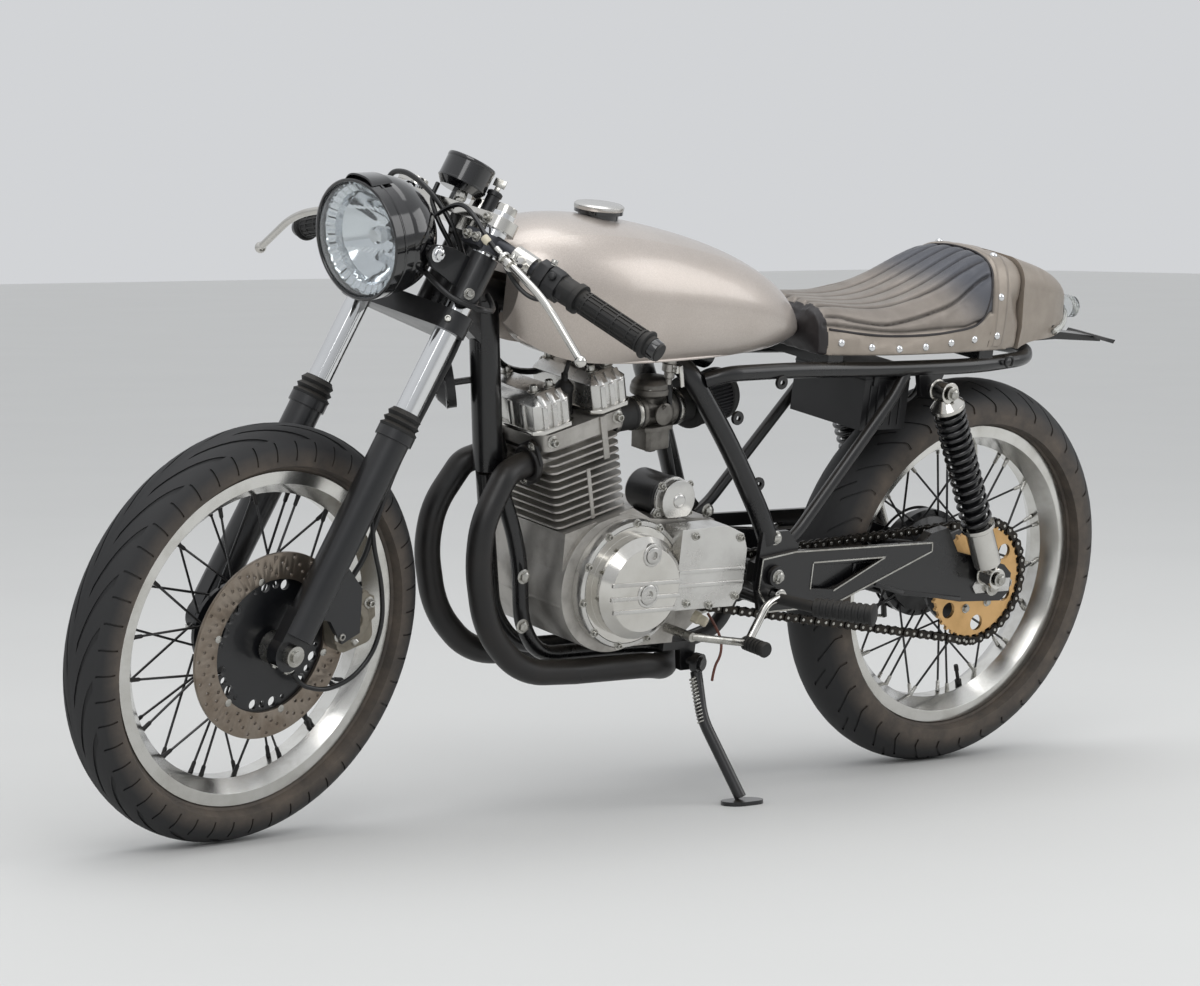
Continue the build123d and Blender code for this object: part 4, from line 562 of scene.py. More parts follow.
# Adds the same piece on the right-hand side.
def both_sides(piece):
    other = placed(bpy.data.objects.new(piece.name, piece.data.copy()), MIRROR)
    bpy.context.scene.collection.objects.link(other)
    other.data.flip_normals()
    return joined(piece, other)


def both_places(places):
    return places + [MIRROR @ place @ MIRROR for place in places]


# Cap screw on its washer, standing along Z.
def cap_screw(radius):
    washer = turned([(0, 1.2), (1.5 * radius, 1.2), (1.6 * radius, 0.8), (1.6 * radius, 0)], 18)
    profile = ((0, 0.9), (0.5, 0.9), (0.55, 1.6), (0.85, 1.6), (1, 1.4))
    head = turned([(reach * radius, height * radius) for reach, height in profile] + [(radius, 1.1)], 18)
    return joined(washer, head)


# Hexagon bolt on its washer, standing along Z.
def hex_bolt(radius):
    washer = turned([(0, 1.2), (1.3 * radius, 1.2), (1.38 * radius, 0.8), (1.38 * radius, 0)], 20)
    head = turned([(0, radius), (0.6 * radius, radius), (radius, 0.78 * radius), (radius, 1.1)], 6)
    return joined(washer, head)


def modified(piece, kind, **settings):
    chosen(piece)
    modifier = piece.modifiers.new(kind.lower(), kind)
    for name, value in settings.items():
        setattr(modifier, name, value)
    bpy.ops.object.modifier_apply(modifier=modifier.name)
    return piece


# Cuts joined cutters out of a piece.
def cut(piece, cutter):
    modified(piece, "BOOLEAN", operation="DIFFERENCE", solver="EXACT", use_self=True, object=cutter)
    bpy.data.objects.remove(cutter)
    return piece


# Ends a piece: rounds its edges, puts its mesh where it belongs and gives it finish and body.
def settled(piece, name, body, material, place, edge=0, smooth=38, stands_for=(), slot=None):
    if edge:
        modified(piece, "BEVEL", width=edge, segments=2, limit_method="ANGLE", angle_limit=radians(32))
    piece.name = name
    piece.data.name = name
    piece.data.transform(place)
    chosen(piece)
    bpy.ops.object.shade_smooth_by_angle(angle=radians(smooth))
    if material:
        piece.data.materials.clear()
        piece.data.materials.append(material)
    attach(piece, body)
    if stands_for:
        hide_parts(*stands_for)
    return piece


def on_frame(piece, name, material, place=machine, **more):
    return settled(piece, name, "frame", material, place, **more)


def on_fork(piece, name, material, place=fork, **more):
    return settled(piece, name, "steering", material, place, **more)


# Tyres. The section is spun round the axle; every second slice is narrow, slices lean across the crown
# like the grooves, and the groove faces are then drawn inwards.
CROWN_ROWS = 15
RIM_SEAT = 244
BEAD_TOE = 229
GROOVE_DEPTH = 2.6


def treaded_tyre(radius, width, rim_width, slices, narrow, lean, is_groove):
    half = width / 2
    bead = rim_width / 2 - 3.7
    across, drop = 0.95 * half, 0.6 * half
    arc = (across ** 2 + drop ** 2) / (2 * drop)
    widest = atan2(across, arc - drop)
    crown = [widest * row / CROWN_ROWS for row in range(CROWN_ROWS + 1)]
    side = [(arc * sin(tilt), radius - arc * (1 - cos(tilt))) for tilt in crown] + [
        (half * 0.992, radius - 0.76 * half), (half, radius - 0.92 * half), (half * 0.985, radius - 1.08 * half),
        (0.5 * (half * 0.94 + bead + 5), 0.5 * (radius - 1.2 * half + RIM_SEAT + 8)), (bead + 5, RIM_SEAT + 5),
        (bead + 3, RIM_SEAT + 1.2), (bead + 0.8, RIM_SEAT + 0.6), (bead, RIM_SEAT - 3), (bead, BEAD_TOE),
    ]
    section = side + [(-y, r) for y, r in reversed(side[1:])]
    chosen()
    bpy.ops.mesh.primitive_circle_add(vertices=len(section), radius=1)
    tyre = bpy.context.active_object
    for vertex, (y, r) in zip(tyre.data.vertices, section):
        vertex.co = (0, y, r)
    opened()
    bpy.ops.mesh.spin(steps=slices, angle=2 * pi, center=(0, 0, 0), axis=LEFT)
    welded(0.01)
    step = 2 * pi / slices

    def reach_and_tilt(at):
        reach = hypot(at.x, at.z)
        return reach, degrees(atan2(abs(at.y), reach - radius + arc))

    def grooved(face):
        turn = int((atan2(face.center.x, face.center.z) % (2 * pi)) / step) % slices
        reach, tilt = reach_and_tilt(face.center)
        outside = reach > radius - 0.95 * half and abs(face.center.y) > 0
        return bool(outside and is_groove(turn, tilt, 1 if face.center.y > 0 else -1))

    choose_faces(tyre, grooved)
    for vertex in tyre.data.vertices:
        turn = round((atan2(vertex.co.x, vertex.co.z) % (2 * pi)) / step)
        reach, tilt = reach_and_tilt(vertex.co)
        angle = (turn // 2) * 2 * step + (turn % 2) * 2 * step * narrow
        if reach > RIM_SEAT + 6:
            angle += radians(lean(tilt))
        vertex.co = (reach * sin(angle), vertex.co.y, reach * cos(angle))
    bpy.ops.object.mode_set(mode="EDIT")
    bpy.ops.mesh.extrude_region_shrink_fatten(TRANSFORM_OT_shrink_fatten={"value": -GROOVE_DEPTH})
    bpy.ops.object.mode_set(mode="OBJECT")
    return tyre


def front_lean(tilt):
    return 30 * (1 - min(tilt, 50) / 50) ** 1.7


def front_groove(turn, tilt, side):
    pair, wide = turn // 2, turn % 2
    if tilt < 44:
        return wide and pair % 4 == (0 if side > 0 else 2) and tilt > 7
    return not wide and pair % 2 == 0 and 46 < tilt < 80


def rear_lean(tilt):
    return -0.22 * min(tilt, 62)


def rear_groove(turn, tilt, side):
    pair, wide = turn // 2, turn % 2
    if wide:
        return False
    if pair % 2 == (0 if side > 0 else 1):
        return 30 < tilt < 74
    return pair % 4 == 1 and 12 < tilt < 40


tyre = treaded_tyre(FRONT_RADIUS, 90, 60, 192, 0.16, front_lean, front_groove)
settled(tyre, "front_tyre_tread", "front_wheel", front_rubber, front_wheel, 0, 40, ["front_tyre"])
tyre = treaded_tyre(REAR_RADIUS, 115, 74, 144, 0.18, rear_lean, rear_groove)
settled(tyre, "rear_tyre_tread", "rear_wheel", rear_rubber, rear_wheel, 0, 40, ["rear_tyre"])

# Brake ring: ground faces, drilled with four rows of small holes
BRAKE_RING_Y = 53.5
ring_place = front_wheel @ leftward(0, BRAKE_RING_Y, 0)
ring = turned([(97, 0), (97, 5), (135, 5), (135, 0), (97, 0)], 96)
drill = turned([(0, -2), (2.7, -2), (2.7, 8), (0, 8)], 10)
holes = [
    Matrix.Translation((*polar(reach, index * 15 + shift), 0))
    for reach, shift in ((104, 0), (112, 5), (120, 10), (128.5, 1)) for index in range(24)
]
ring = cut(ring, scattered(drill, holes))
settled(ring, "drilled_brake_ring", "front_wheel", brake_steel, ring_place, 0.35, 30, ["front_disc"])

# Rivets that hold the ring to its carrier
rivet = turned([(0, 0.8), (4.6, 0.8), (5.5, 0.4), (5.5, 0)], 14)
rivets = scattered(rivet, [Matrix.Translation((*polar(100.2, angle), 5)) for angle in range(15, 375, 60)])
settled(rivets, "brake_ring_rivets", "front_wheel", zinc_steel, ring_place)


# Ends of the wire spokes: where each leaves the hub flange and where it enters the rim.
def spoke_ends(flange_offset, flange_radius):
    for side in (1, -1):
        for index in range(18):
            lean = 1 if index % 2 else -1
            at_hub = (index // 2) * 40 + side * 10 + lean * 7
            x, z = polar(flange_radius, at_hub)
            rim_x, rim_z = polar(RIM_WELL, at_hub + lean * 34 * 0.72)
            yield Vector((x, side * flange_offset + lean * 1.6, z)), Vector((rim_x, side * 5.5, rim_z))


for part, wheel, offset, reach, finish in (
    ("front", front_wheel, 33, 66, spoke_black), ("rear", rear_wheel, 41, 78, zinc_steel),
):
    nipple = turned([(0, -1), (3.6, -1), (3.6, 3), (3.2, 4), (3.0, 14), (2.1, 16), (1.6, 16.5), (0, 16.5)], 10)
    nipples = scattered(nipple, [aim(end, start - end) for start, end in spoke_ends(offset, reach)])
    settled(nipples, f"{part}_spoke_nipples", f"{part}_wheel", finish, wheel)

# Valve stems
for part, wheel, angle in (("front", front_wheel, 200), ("rear", rear_wheel, 250)):
    stem = turned([
        (0, 34), (3.4, 34), (3.8, 32), (3.8, 24), (3, 23), (3, 8), (5.5, 7), (5.5, 1), (3, 0), (0, 0),
    ], 14)
    x, z = polar(1, angle)
    outward = Vector((x, 0, z))
    settled(stem, f"{part}_valve", f"{part}_wheel", black_rubber, wheel @ aim(outward * (RIM_WELL + 1), -outward))

# Drive chain: rollers and pins on the pitch line, narrow plates and wide plates in turn
PITCH = 15.875
REAR_TEETH = 39
DRIVE_TEETH = 15
rear_pitch = PITCH / (2 * sin(pi / REAR_TEETH))
drive_pitch = PITCH / (2 * sin(pi / DRIVE_TEETH))
axle_at, shaft_at = Vector((0, REAR_RADIUS)), Vector(DRIVE_SHAFT)
between = shaft_at - axle_at
run_angle = atan2(between.y, between.x)
wrap = atan2(rear_pitch - drive_pitch, sqrt(between.length ** 2 - (rear_pitch - drive_pitch) ** 2))
run = between.length * cos(wrap)
rear_arc = rear_pitch * (pi + 2 * wrap)
loop = 2 * run + rear_arc + drive_pitch * (pi - 2 * wrap)
links = 2 * round(loop / PITCH / 2)
link_pitch = loop / links


# Where a pin lies, at a distance along the loop: top run, rear wheel, lower run, drive wheel.
def chain_pin(distance):
    top, low = run_angle + pi / 2 + wrap, run_angle - pi / 2 - wrap
    to_top, to_low = Vector((cos(top), sin(top))), Vector((cos(low), sin(low)))
    distance = distance % loop
    if distance < run:
        return (shaft_at + to_top * drive_pitch).lerp(axle_at + to_top * rear_pitch, distance / run)
    distance -= run
    if distance < rear_arc:
        angle = top + distance / rear_pitch
        return axle_at + Vector((cos(angle), sin(angle))) * rear_pitch
    distance -= rear_arc
    if distance < run:
        return (axle_at + to_low * rear_pitch).lerp(shaft_at + to_low * drive_pitch, distance / run)
    angle = low + (distance - run) / drive_pitch
    return shaft_at + Vector((cos(angle), sin(angle))) * drive_pitch


eye = [polar(7, angle) for angle in range(-120, 121, 40)]
figure = [(x + link_pitch / 2, y) for x, y in eye] + [(0, 4.6)]
figure += [(-x, -y) for x, y in figure]
for name, first, faces in (("chain_inner_links", 1, (-4.1, 2.2)), ("chain_outer_links", 0, (-6.4, 4.4))):
    places = []
    for link in range(first, links, 2):
        near, far = chain_pin(link * link_pitch), chain_pin((link + 1) * link_pitch)
        middle = (near + far) / 2
        turn = Matrix.Rotation(-atan2(far.y - near.y, far.x - near.x), 4, "Y")
        places.append(Matrix.Translation((middle.x, CHAIN_Y, middle.y)) @ turn @ rightward(0, 0, 0))
    pair = scattered(plate(figure, 1.9), [Matrix.Translation((0, 0, face)) for face in faces])
    on_frame(scattered(pair, places), name, chain_steel, smooth=30)
pin = turned([(0, 7.2), (2.3, 7.2), (2.8, 6.6), (2.8, -6.6), (2.3, -7.2), (0, -7.2)], 8)
roller = turned([(5, 3), (5, -3)], 10)
pins = [chain_pin(link * link_pitch) for link in range(links)]
pins = scattered(joined(pin, roller), [leftward(at.x, CHAIN_Y, at.y) for at in pins])
on_frame(pins, "chain_pins_and_rollers", zinc_steel, smooth=40, stands_for=["drive_chain"])
teeth = []
for tooth in range(DRIVE_TEETH):
    middle = 360 * (tooth + 0.5) / DRIVE_TEETH
    teeth += [polar(33, middle - degrees(0.1)), polar(39, middle), polar(33, middle + degrees(0.1))]
drive_place = machine @ leftward(DRIVE_SHAFT[0], 72.1, DRIVE_SHAFT[1])
on_frame(plate(teeth, 5.8), "drive_sprocket", chain_steel, drive_place, edge=0.3)

# Springs of the rear shock absorbers: one round wire wound to a coil, closer at its top
COIL_TURNS = 15
COIL_TOP = 34
COIL_FOOT = 239
shock_top, shock_foot = [Vector((x, 0, z)) for x, z in (SHOCK_TOP, SHOCK_FOOT)]
shock_down = (shock_foot - shock_top).normalized()
shock_places = [aim(shock_top + Vector((0, y, 0)), shock_down) for y in (SHOCK_Y, -SHOCK_Y)]
wire = []
for index in range(COIL_TURNS * 12 + 1):
    share = index / (COIL_TURNS * 12)
    along = COIL_TOP + (COIL_FOOT - COIL_TOP) * (0.82 * share + 0.18 * share * share)
    wire.append((*polar(23.2, index * 30), along))
coils = [placed(tube(wire, 3.5, 2, 2), place) for place in shock_places]
on_frame(joined(*coils), "shock_coils", spring_paint, smooth=60, stands_for=["shock_springs"])
sleeve = [(13.2, 32), (17, 32), (17, 60), (18.5, 62), (18.5, 90), (17, 92), (17, 242), (13.2, 242), (13.2, 32)]
sleeves = [placed(turned(sleeve, 24), place) for place in shock_places]
on_frame(joined(*sleeves), "shock_damper_sleeves", slider_coat)

# Headlamp: clear domed glass, pressed reflector with a ring of radial steps, bulb shield and black rim
lamp_slope = radians(RAKE + 8)
lamp_forward = Vector((cos(lamp_slope), 0, -sin(lamp_slope)))
lamp_place = fork @ aim(Vector(LAMP_FRONT) - lamp_forward * LAMP_DEPTH, lamp_forward)
glass = turned([(80.6, 100), (80.6, 108), (74, 112), (52, 115.5), (26, 117), (0, 117.6)], 64)
modified(glass, "SOLIDIFY", thickness=-2.2)
on_fork(glass, "headlamp_glass", lamp_glass, lamp_place, smooth=60, stands_for=["headlight_lens"])
dish = [(reach, 86 - 42 * (1 - (reach / 66) ** 2)) for reach in [63 - index * 4.3 for index in range(12)]]
bowl = turned([(80, 101), (77, 100.5), (75.5, 98), (66, 92), (64.5, 88), *dish, (14.5, 34)], 144)
for vertex in bowl.data.vertices:
    x, y = vertex.co.x, vertex.co.y
    reach = hypot(x, y)
    if 65 < reach < 77:
        vertex.co.z += 1.7 * (round(atan2(y, x) / (2 * pi) * 144) % 4 // 2)
    elif 17 < reach < 64:
        ridge = 5 * exp(-((abs(y) - 41) / 9) ** 2) * exp(-(x / 24) ** 2)
        vertex.co.z += ridge + (3.5 if x > 6 else 0) - (2.5 if abs(y) > 30 else 0)
on_fork(bowl, "headlamp_reflector", reflector_plate, lamp_place, smooth=10)
on_fork(turned([(14.6, 36), (13, 34), (0, 34)], 40), "headlamp_socket", black_plastic, lamp_place)
shield = turned([(0, 80), (9, 80), (12.4, 77), (13, 70), (10, 60), (9, 36)], 32)
on_fork(shield, "headlamp_bulb_shield", chrome_plate, lamp_place)
rim = turned([(80.8, 108), (81, 112.2), (83, 113.4), (85.2, 112.4), (85.8, 109), (85.9, 101), (83.5, 100)], 96)
on_fork(rim, "headlamp_rim", gloss_black, lamp_place, smooth=60)

# Seat. The pad's own shape, a little smaller, is blown up as a cloth. Then it is stitched: an arched panel with
# lengthwise pleats that climb the hump, a strap over the hump's rear edge, and a near-black nose, painted shadow
# under the tank.
SEAT_ROWS = ((418, 98), (277, 125), (176, 125), (65, 112), (-5, 98))
PANEL_EDGE = ((418, 738), (271, 728), (143, 734), (100, 742), (76, 756), (-5, 790))
PLEAT_SEAMS = (-0.82, -0.60, -0.36, -0.12, 0.12, 0.36, 0.60, 0.82)
SEAT_MIDDLE = Vector((206, 0, 692))
SEAT_BASE = 697
PANEL_FRONT = 409
NOSE = 404
SKIRT_TOP = 700
MOST_BLOWN = 0.006


def between_rows(rows, x):
    for (x_high, high), (x_low, low) in zip(rows, rows[1:]):
        if x >= x_low:
            share = min(max((x - x_low) / (x_high - x_low), 0), 1)
            return low + (high - low) * share * share * (3 - 2 * share)
    return rows[-1][1]


def strap_front(y):
    return 53 + 18 * (y / 100) ** 2


# How far the stitching lifts or sinks a point of the pad, and how dark it makes it.
def stitching(x, y, z, normal):
    half = between_rows(SEAT_ROWS, x)
    front, edge = strap_front(y), between_rows(PANEL_EDGE, x)
    lift, mark = 0, 0
    if x > front and z > edge and x < PANEL_FRONT:
        slope = sqrt(max(0.08, 1 - normal.y ** 2))
        near = min(abs(y - seam * half) for seam in PLEAT_SEAMS) / slope
        fade = min(1, (x - front) / 10, (z - edge) / 8, (PANEL_FRONT - x) / 12)
        groove = exp(-(near / 2.7) ** 2)
        lift += fade * (1.8 * min(1, near / 11) - 3.6 * groove)
        mark = max(mark, 0.75 * groove * fade)
    if z > SKIRT_TOP and x < 412:
        rim = abs(z - edge) if x > 74 and abs(y) > 0.6 * half else 99
        rim = min(rim, abs(x - front) * (0.9 if z > edge - 4 else 9))
        groove = exp(-(rim / 2.6) ** 2)
        lift -= 2.2 * groove
        mark = max(mark, 0.8 * groove)
    if front - 34 < x < front - 4 and z > SKIRT_TOP:
        lift += 2.0 * min(1, (front - 4 - x) / 3, (x - front + 34) / 3)
        rows = min(abs(x - front + 9), abs(x - front + 29))
        mark = max(mark, 0.35 * exp(-(rows / 1.4) ** 2))
    return lift, mark


pad = bpy.data.objects.new("stitched_seat", nodes["seat_pad"].data.copy())
bpy.context.scene.collection.objects.link(pad)
chosen(pad)
opened()
bpy.ops.mesh.remove_doubles(threshold=0.0001)
bpy.ops.object.mode_set(mode="OBJECT")
to_middle = Matrix.Translation(SEAT_MIDDLE)
smaller = to_middle @ Matrix.Diagonal((1, 0.965, 0.975, 1)) @ to_middle.inverted()
pad.data.transform(machine @ smaller @ to_machine)
modified(pad, "REMESH", mode="VOXEL", voxel_size=0.0045)
modified(pad, "SMOOTH", factor=0.5, iterations=5)
unblown = [vertex.co.copy() for vertex in pad.data.vertices]
base = pad.vertex_groups.new(name="base")
base.add([v.index for v in pad.data.vertices if (to_machine @ v.co).z < SEAT_BASE], 1, "REPLACE")
cloth = pad.modifiers.new("cloth", "CLOTH")
cloth.settings.use_pressure = True
cloth.settings.uniform_pressure_force = 4
cloth.settings.vertex_group_mass = "base"
cloth.settings.effector_weights.gravity = 0
for step in range(1, 21):
    bpy.context.scene.frame_set(step)
bpy.ops.object.modifier_apply(modifier=cloth.name)
for vertex, before in zip(pad.data.vertices, unblown):
    move = vertex.co - before
    if move.length > MOST_BLOWN:
        vertex.co = before + move.normalized() * MOST_BLOWN
bpy.context.scene.frame_set(1)
modified(pad, "SUBSURF", levels=1, render_levels=1)
pad.data.transform(to_machine)
stitch = pad.data.attributes.new("stitch", "FLOAT", "POINT")
marks, points = [], []
for vertex in pad.data.vertices:
    lift, mark = stitching(*vertex.co, vertex.normal)
    points.append(vertex.co + vertex.normal * lift)
    marks.append(mark)
for vertex, point in zip(pad.data.vertices, points):
    vertex.co = point
stitch.data.foreach_set("value", marks)
pad.data.materials.clear()
for material in (skirt_vinyl, pleat_vinyl, piping_and_nose_shadow_vinyl):
    pad.data.materials.append(material)
for face in pad.data.polygons:
    x, y, z = face.center
    # Faces at the nose take the near-black vinyl, painted shadow under the tank's rear edge; the pleated panel
    # takes the vinyl with the painted hump shade
    if x > NOSE:
        face.material_index = 2
    elif x > strap_front(y) and z > between_rows(PANEL_EDGE, x):
        face.material_index = 1


# The point of the pad nearest to a place, and the way that the pad faces there.
def on_pad(x, y, z):
    return pad.closest_point_on_mesh(Vector((x, y, z)))[1:3]


# Piping round the pleated panel, studs along the skirt and on the strap
spots = [
    on_pad(x, between_rows(SEAT_ROWS, x) + 10, between_rows(PANEL_EDGE, x))
    for x in (NOSE, 350, 300, 250, 200, 160, 130, 105, 88)
]
for y in (104, 96, 84, 66, 44, 22):
    spots.append(on_pad(strap_front(y), y * 1.05, 772 + 70 * sqrt(1 - (y / 108) ** 2)))
route = [spot + normal * 0.6 for spot, normal in spots]
arch = route + [MIRROR @ point for point in reversed(route)]
spots = [on_pad(386 - 55.3 * index, 135, 708 + 1.2 * abs(index - 3) ** 1.5) for index in range(7)]
spots += [on_pad(strap_front(y) - 19, y, z) for y, z in ((112, 779), (64, 850))]
studs = []
for spot, normal in spots:
    studs += [aim(spot, normal), aim(MIRROR @ spot, MIRROR @ normal)]
on_frame(pad, "stitched_seat", None, smooth=70, stands_for=["seat_pad"], slot="seat_vinyl")
on_frame(tube(arch, 2.0, 2, 8), "seat_piping", piping_and_nose_shadow_vinyl, smooth=60)
stud = turned([(0, 4.2), (2.4, 3.9), (4.6, 2.8), (6, 1.1), (6.4, -0.4)], 18)
on_frame(scattered(stud, studs), "seat_studs", chrome_plate, smooth=60)


# Outline of a cam cover or, with a depth, of the lip below it.
def cover_outline(half, depth):
    corners = [(-half - depth, -68), (-half + 8, -75 - depth), (half - 8, -75 - depth), (half + depth, -68)]
    return corners + [(x, -y) for x, y in reversed(corners)]


# Cylinder and head: a bar down the middle of each side's fins, cam covers with sloping tops, ribs and lips, bolts
bars = []
for side in (1, -1):
    bars.append(bar((0, side * 78.5, 2), (0, side * 78.5, 80), 7, 5, LEFT))
    bars.append(bar((-36, side * 79.2, 84), (-36, side * 79.2, 150), 11, 4, LEFT))
on_frame(joined(*bars), "cylinder_side_bars", cast_alloy, engine, edge=1.2)
lips, covers, bolts = [], [], []
for low, high in ((13, 80), (-92, -28)):
    middle, half = (low + high) / 2, (high - low) / 2
    lips.append(moved(plate(cover_outline(half, 5), 7), middle, 0, 153))
    cover = plate(cover_outline(half, 0), 38)
    choose_faces(cover, lambda face: face.center.z > 37)
    bpy.ops.object.mode_set(mode="EDIT")
    for rise, top, narrower, shorter in ((12, 50, 0.66, 0.84), (3, 53, 0.9, 0.95)):
        bpy.ops.mesh.extrude_region_move(TRANSFORM_OT_translate={"value": (0, 0, rise)})
        bpy.ops.transform.resize(value=(narrower, shorter, 1), center_override=(0, 0, top))
    bpy.ops.object.mode_set(mode="OBJECT")
    covers.append(moved(cover, middle, 0, 158))
    for side in (1, -1):
        for share in (-0.52, 0.0, 0.52):
            x = middle + half * share
            covers.append(bar((x, side * 74, 158), (x, side * 74, 194), 9, 7, LEFT))
            covers.append(bar((x, side * 75.4, 190), (x, side * 64, 209), 9, 6, (0, 0.86, 0.5)))
        bolts += [aim((middle + shift, side * 50, 211)) for shift in (-14, 14)]
    x = high if low > 0 else low
    for y in (-45, -15, 15, 45):
        covers.append(bar((x, y, 158), (x, y, 196), 9, 5, FORWARD))
on_frame(joined(*lips), "cam_cover_lips", polished_alloy, engine, edge=1.6, slot="engine_alloy")
on_frame(joined(*covers), "ribbed_cam_covers", cover_alloy, engine, edge=1.2, stands_for=["cam_covers"])
bolts += [aim((x, side * 78, z), (0, side, 0)) for x, z in ((57, 138), (-64, 140)) for side in (1, -1)]
on_frame(scattered(cap_screw(6), bolts), "head_bolts", zinc_steel, engine)

# Generator cover and chain cover: raised ribs, the flange's ring, two inspection plugs, screws round the edges
cover_ribs = ((374, 690, 822), (353, 690, 822), (333, 697, 815))
ribs = [bar((low, 150.6, z), (high, 150.6, z), 6, 4, LEFT) for z, low, high in cover_ribs]
ribs += [bar((557, 138.6, z), (686, 138.6, z), 6, 4, LEFT) for z in (383, 362)]
on_frame(joined(*ribs), "cover_ribs", cover_alloy, edge=0.9)
flange = turned([(89, 118), (95, 117), (97, 112), (97, 98.2), (89, 98.2)], 72)
on_frame(flange, "generator_flange", cover_alloy, machine @ leftward(GENERATOR[0], 0, GENERATOR[1]))
plugs = []
for x, z, radius in ((751, 357, 15), (751, 416, 12.5)):
    boss = turned([
        (radius + 5, -4), (radius + 5, 2), (radius + 4, 3), (radius + 0.6, 3), (radius + 0.4, 1.6), (radius, 1.6),
        (radius, 4.4), (radius - 1.4, 5.4), (6.2, 5.4), (6, 5), (5.6, 1.5), (0, 1.5),
    ], 36)
    plugs.append(placed(boss, leftward(x, 148.6, z)))
on_frame(joined(*plugs), "inspection_plugs", cover_alloy)
screws = bolt_circle(GENERATOR, 117, 92.5, (-116, -82, -48, -14, 20, 54, 88, 116), LEFT)
screws += [aim((x, 138, z), LEFT) for x, z in ((661, 437), (664, 335), (572, 430), (570, 341), (620, 330))]
on_frame(scattered(cap_screw(4.2), screws), "cover_screws", zinc_steel)

# Starter motor: black body, bright end with a flat foot, its bolts, and the engine's mounting bolts
starter_x, starter_z = STARTER
motor = turned([(31.6, 12), (31.6, 68), (32.6, 69), (32.6, 74), (31.6, 75), (31.6, 80), (20, 80)], 48)
on_frame(placed(motor, leftward(starter_x, 0, starter_z)), "starter_body", slider_coat)
face = [(x, max(z, -26)) for x, z in [polar(31.5, angle) for angle in range(-56, 237, 9)]]
end_plate, end_bell = [
    side_plate([(starter_x + x * size, starter_z + z * size) for x, z in face], low, high)
    for size, low, high in ((1.06, 79, 84), (1, 84, 98))
]
hub = placed(turned([(11, 98), (11, 100), (8, 101.6), (0, 101.6)], 32), leftward(starter_x, 0, starter_z))
foot = side_plate([(628, 459), (634, 452), (698, 452), (704, 459), (698, 468), (634, 468)], 79, 86)
on_frame(joined(end_plate, end_bell, hub, foot), "starter_end", cover_alloy, edge=1.6)
bolts = [aim((x, 86, z), LEFT) for x, z in ((694, 503), (638, 503), (698, 460), (634, 460))]
on_frame(scattered(cap_screw(3.6), bolts), "starter_bolts", zinc_steel)
bolts = [aim((x, y, z), LEFT if y > 0 else RIGHT) for x, y, z in (
    (575, 62, 453), (916, 62, 372), (905, 58, 296), (478, 129.5, 362), (478, -129.5, 362), (478, 113.6, 418),
    (455, 113.6, 325),
)]
on_frame(scattered(hex_bolt(8), bolts), "engine_mount_bolts", zinc_steel)


# Where the left bar is at a share of its length.
def on_bar(share):
    return Vector((50 - 99 * share, 106 + 261 * share, 637 - 49 * share))


# A place on the left bar, with Z along the bar.
def bar_place(share):
    return aim(on_bar(share), (on_bar(1) - on_bar(0)).normalized())


# Grips: lengthwise ribs crossed by rings, an end flange and a bar-end weight
ribs = []
for index in range(16):
    rib = bar((16.2, 0, 4), (16.2, 0, 102), 2.6, 2.4, FORWARD)
    ribs.append(placed(rib, Matrix.Rotation(2 * pi * index / 16, 4, "Z")))
ribs += [turned([(16, z), (17.6, z + 0.6), (17.6, z + 3), (16, z + 3.6)], 32) for z in (8, 34, 60, 86, 104)]
ribs.append(turned([(16, 112), (20, 113), (21, 115), (21, 117), (19, 118.5), (16, 119)], 36))
grip = placed(joined(*ribs), bar_place(0.56))
on_fork(both_sides(grip), "grip_ribs", black_rubber, smooth=40, slot="grip_rubber")
weight = turned([(11, -2), (15, -1), (15.4, 4), (14.4, 11), (10, 13.4), (0, 13.6)], 36)
on_fork(both_sides(placed(weight, bar_place(1))), "bar_end_weights", gloss_black)

# Switch housings: two moulded halves with a parting line, a neck, a slide, a button and the lead below
half = [(-21, -12), (-14, -22), (10, -24), (20, -16), (22, 4), (18, 15), (8, 21), (-12, 21), (-21, 12)]
front, rear, neck = [
    moved(plate([(x * size, y * size) for x, y in half], thick), 0, 0, along)
    for size, thick, along in ((1, 17, 0), (0.97, 22, 18), (0.8, 12, 40))
]
slide = bar((14, 16, 8), (14, 16, 26), 9, 12, (0.7, 0.7, 0))
button = placed(turned([(0, 8), (4.6, 7.6), (5.4, 6.4), (5.6, 0)], 20), aim((-20, 4, 28), (-1, 0.1, 0)))
housing = placed(joined(front, rear, neck, slide, button), bar_place(0.29))
on_fork(both_sides(housing), "switch_housings", black_plastic, edge=1.4)
lead = tube([(0, -20, 30), (4, -30, 24), (2, -36, 6), (-6, -32, -20), (-10, -20, -44)], 3.2)
on_fork(both_sides(placed(lead, bar_place(0.29))), "switch_leads", cable_sheath)

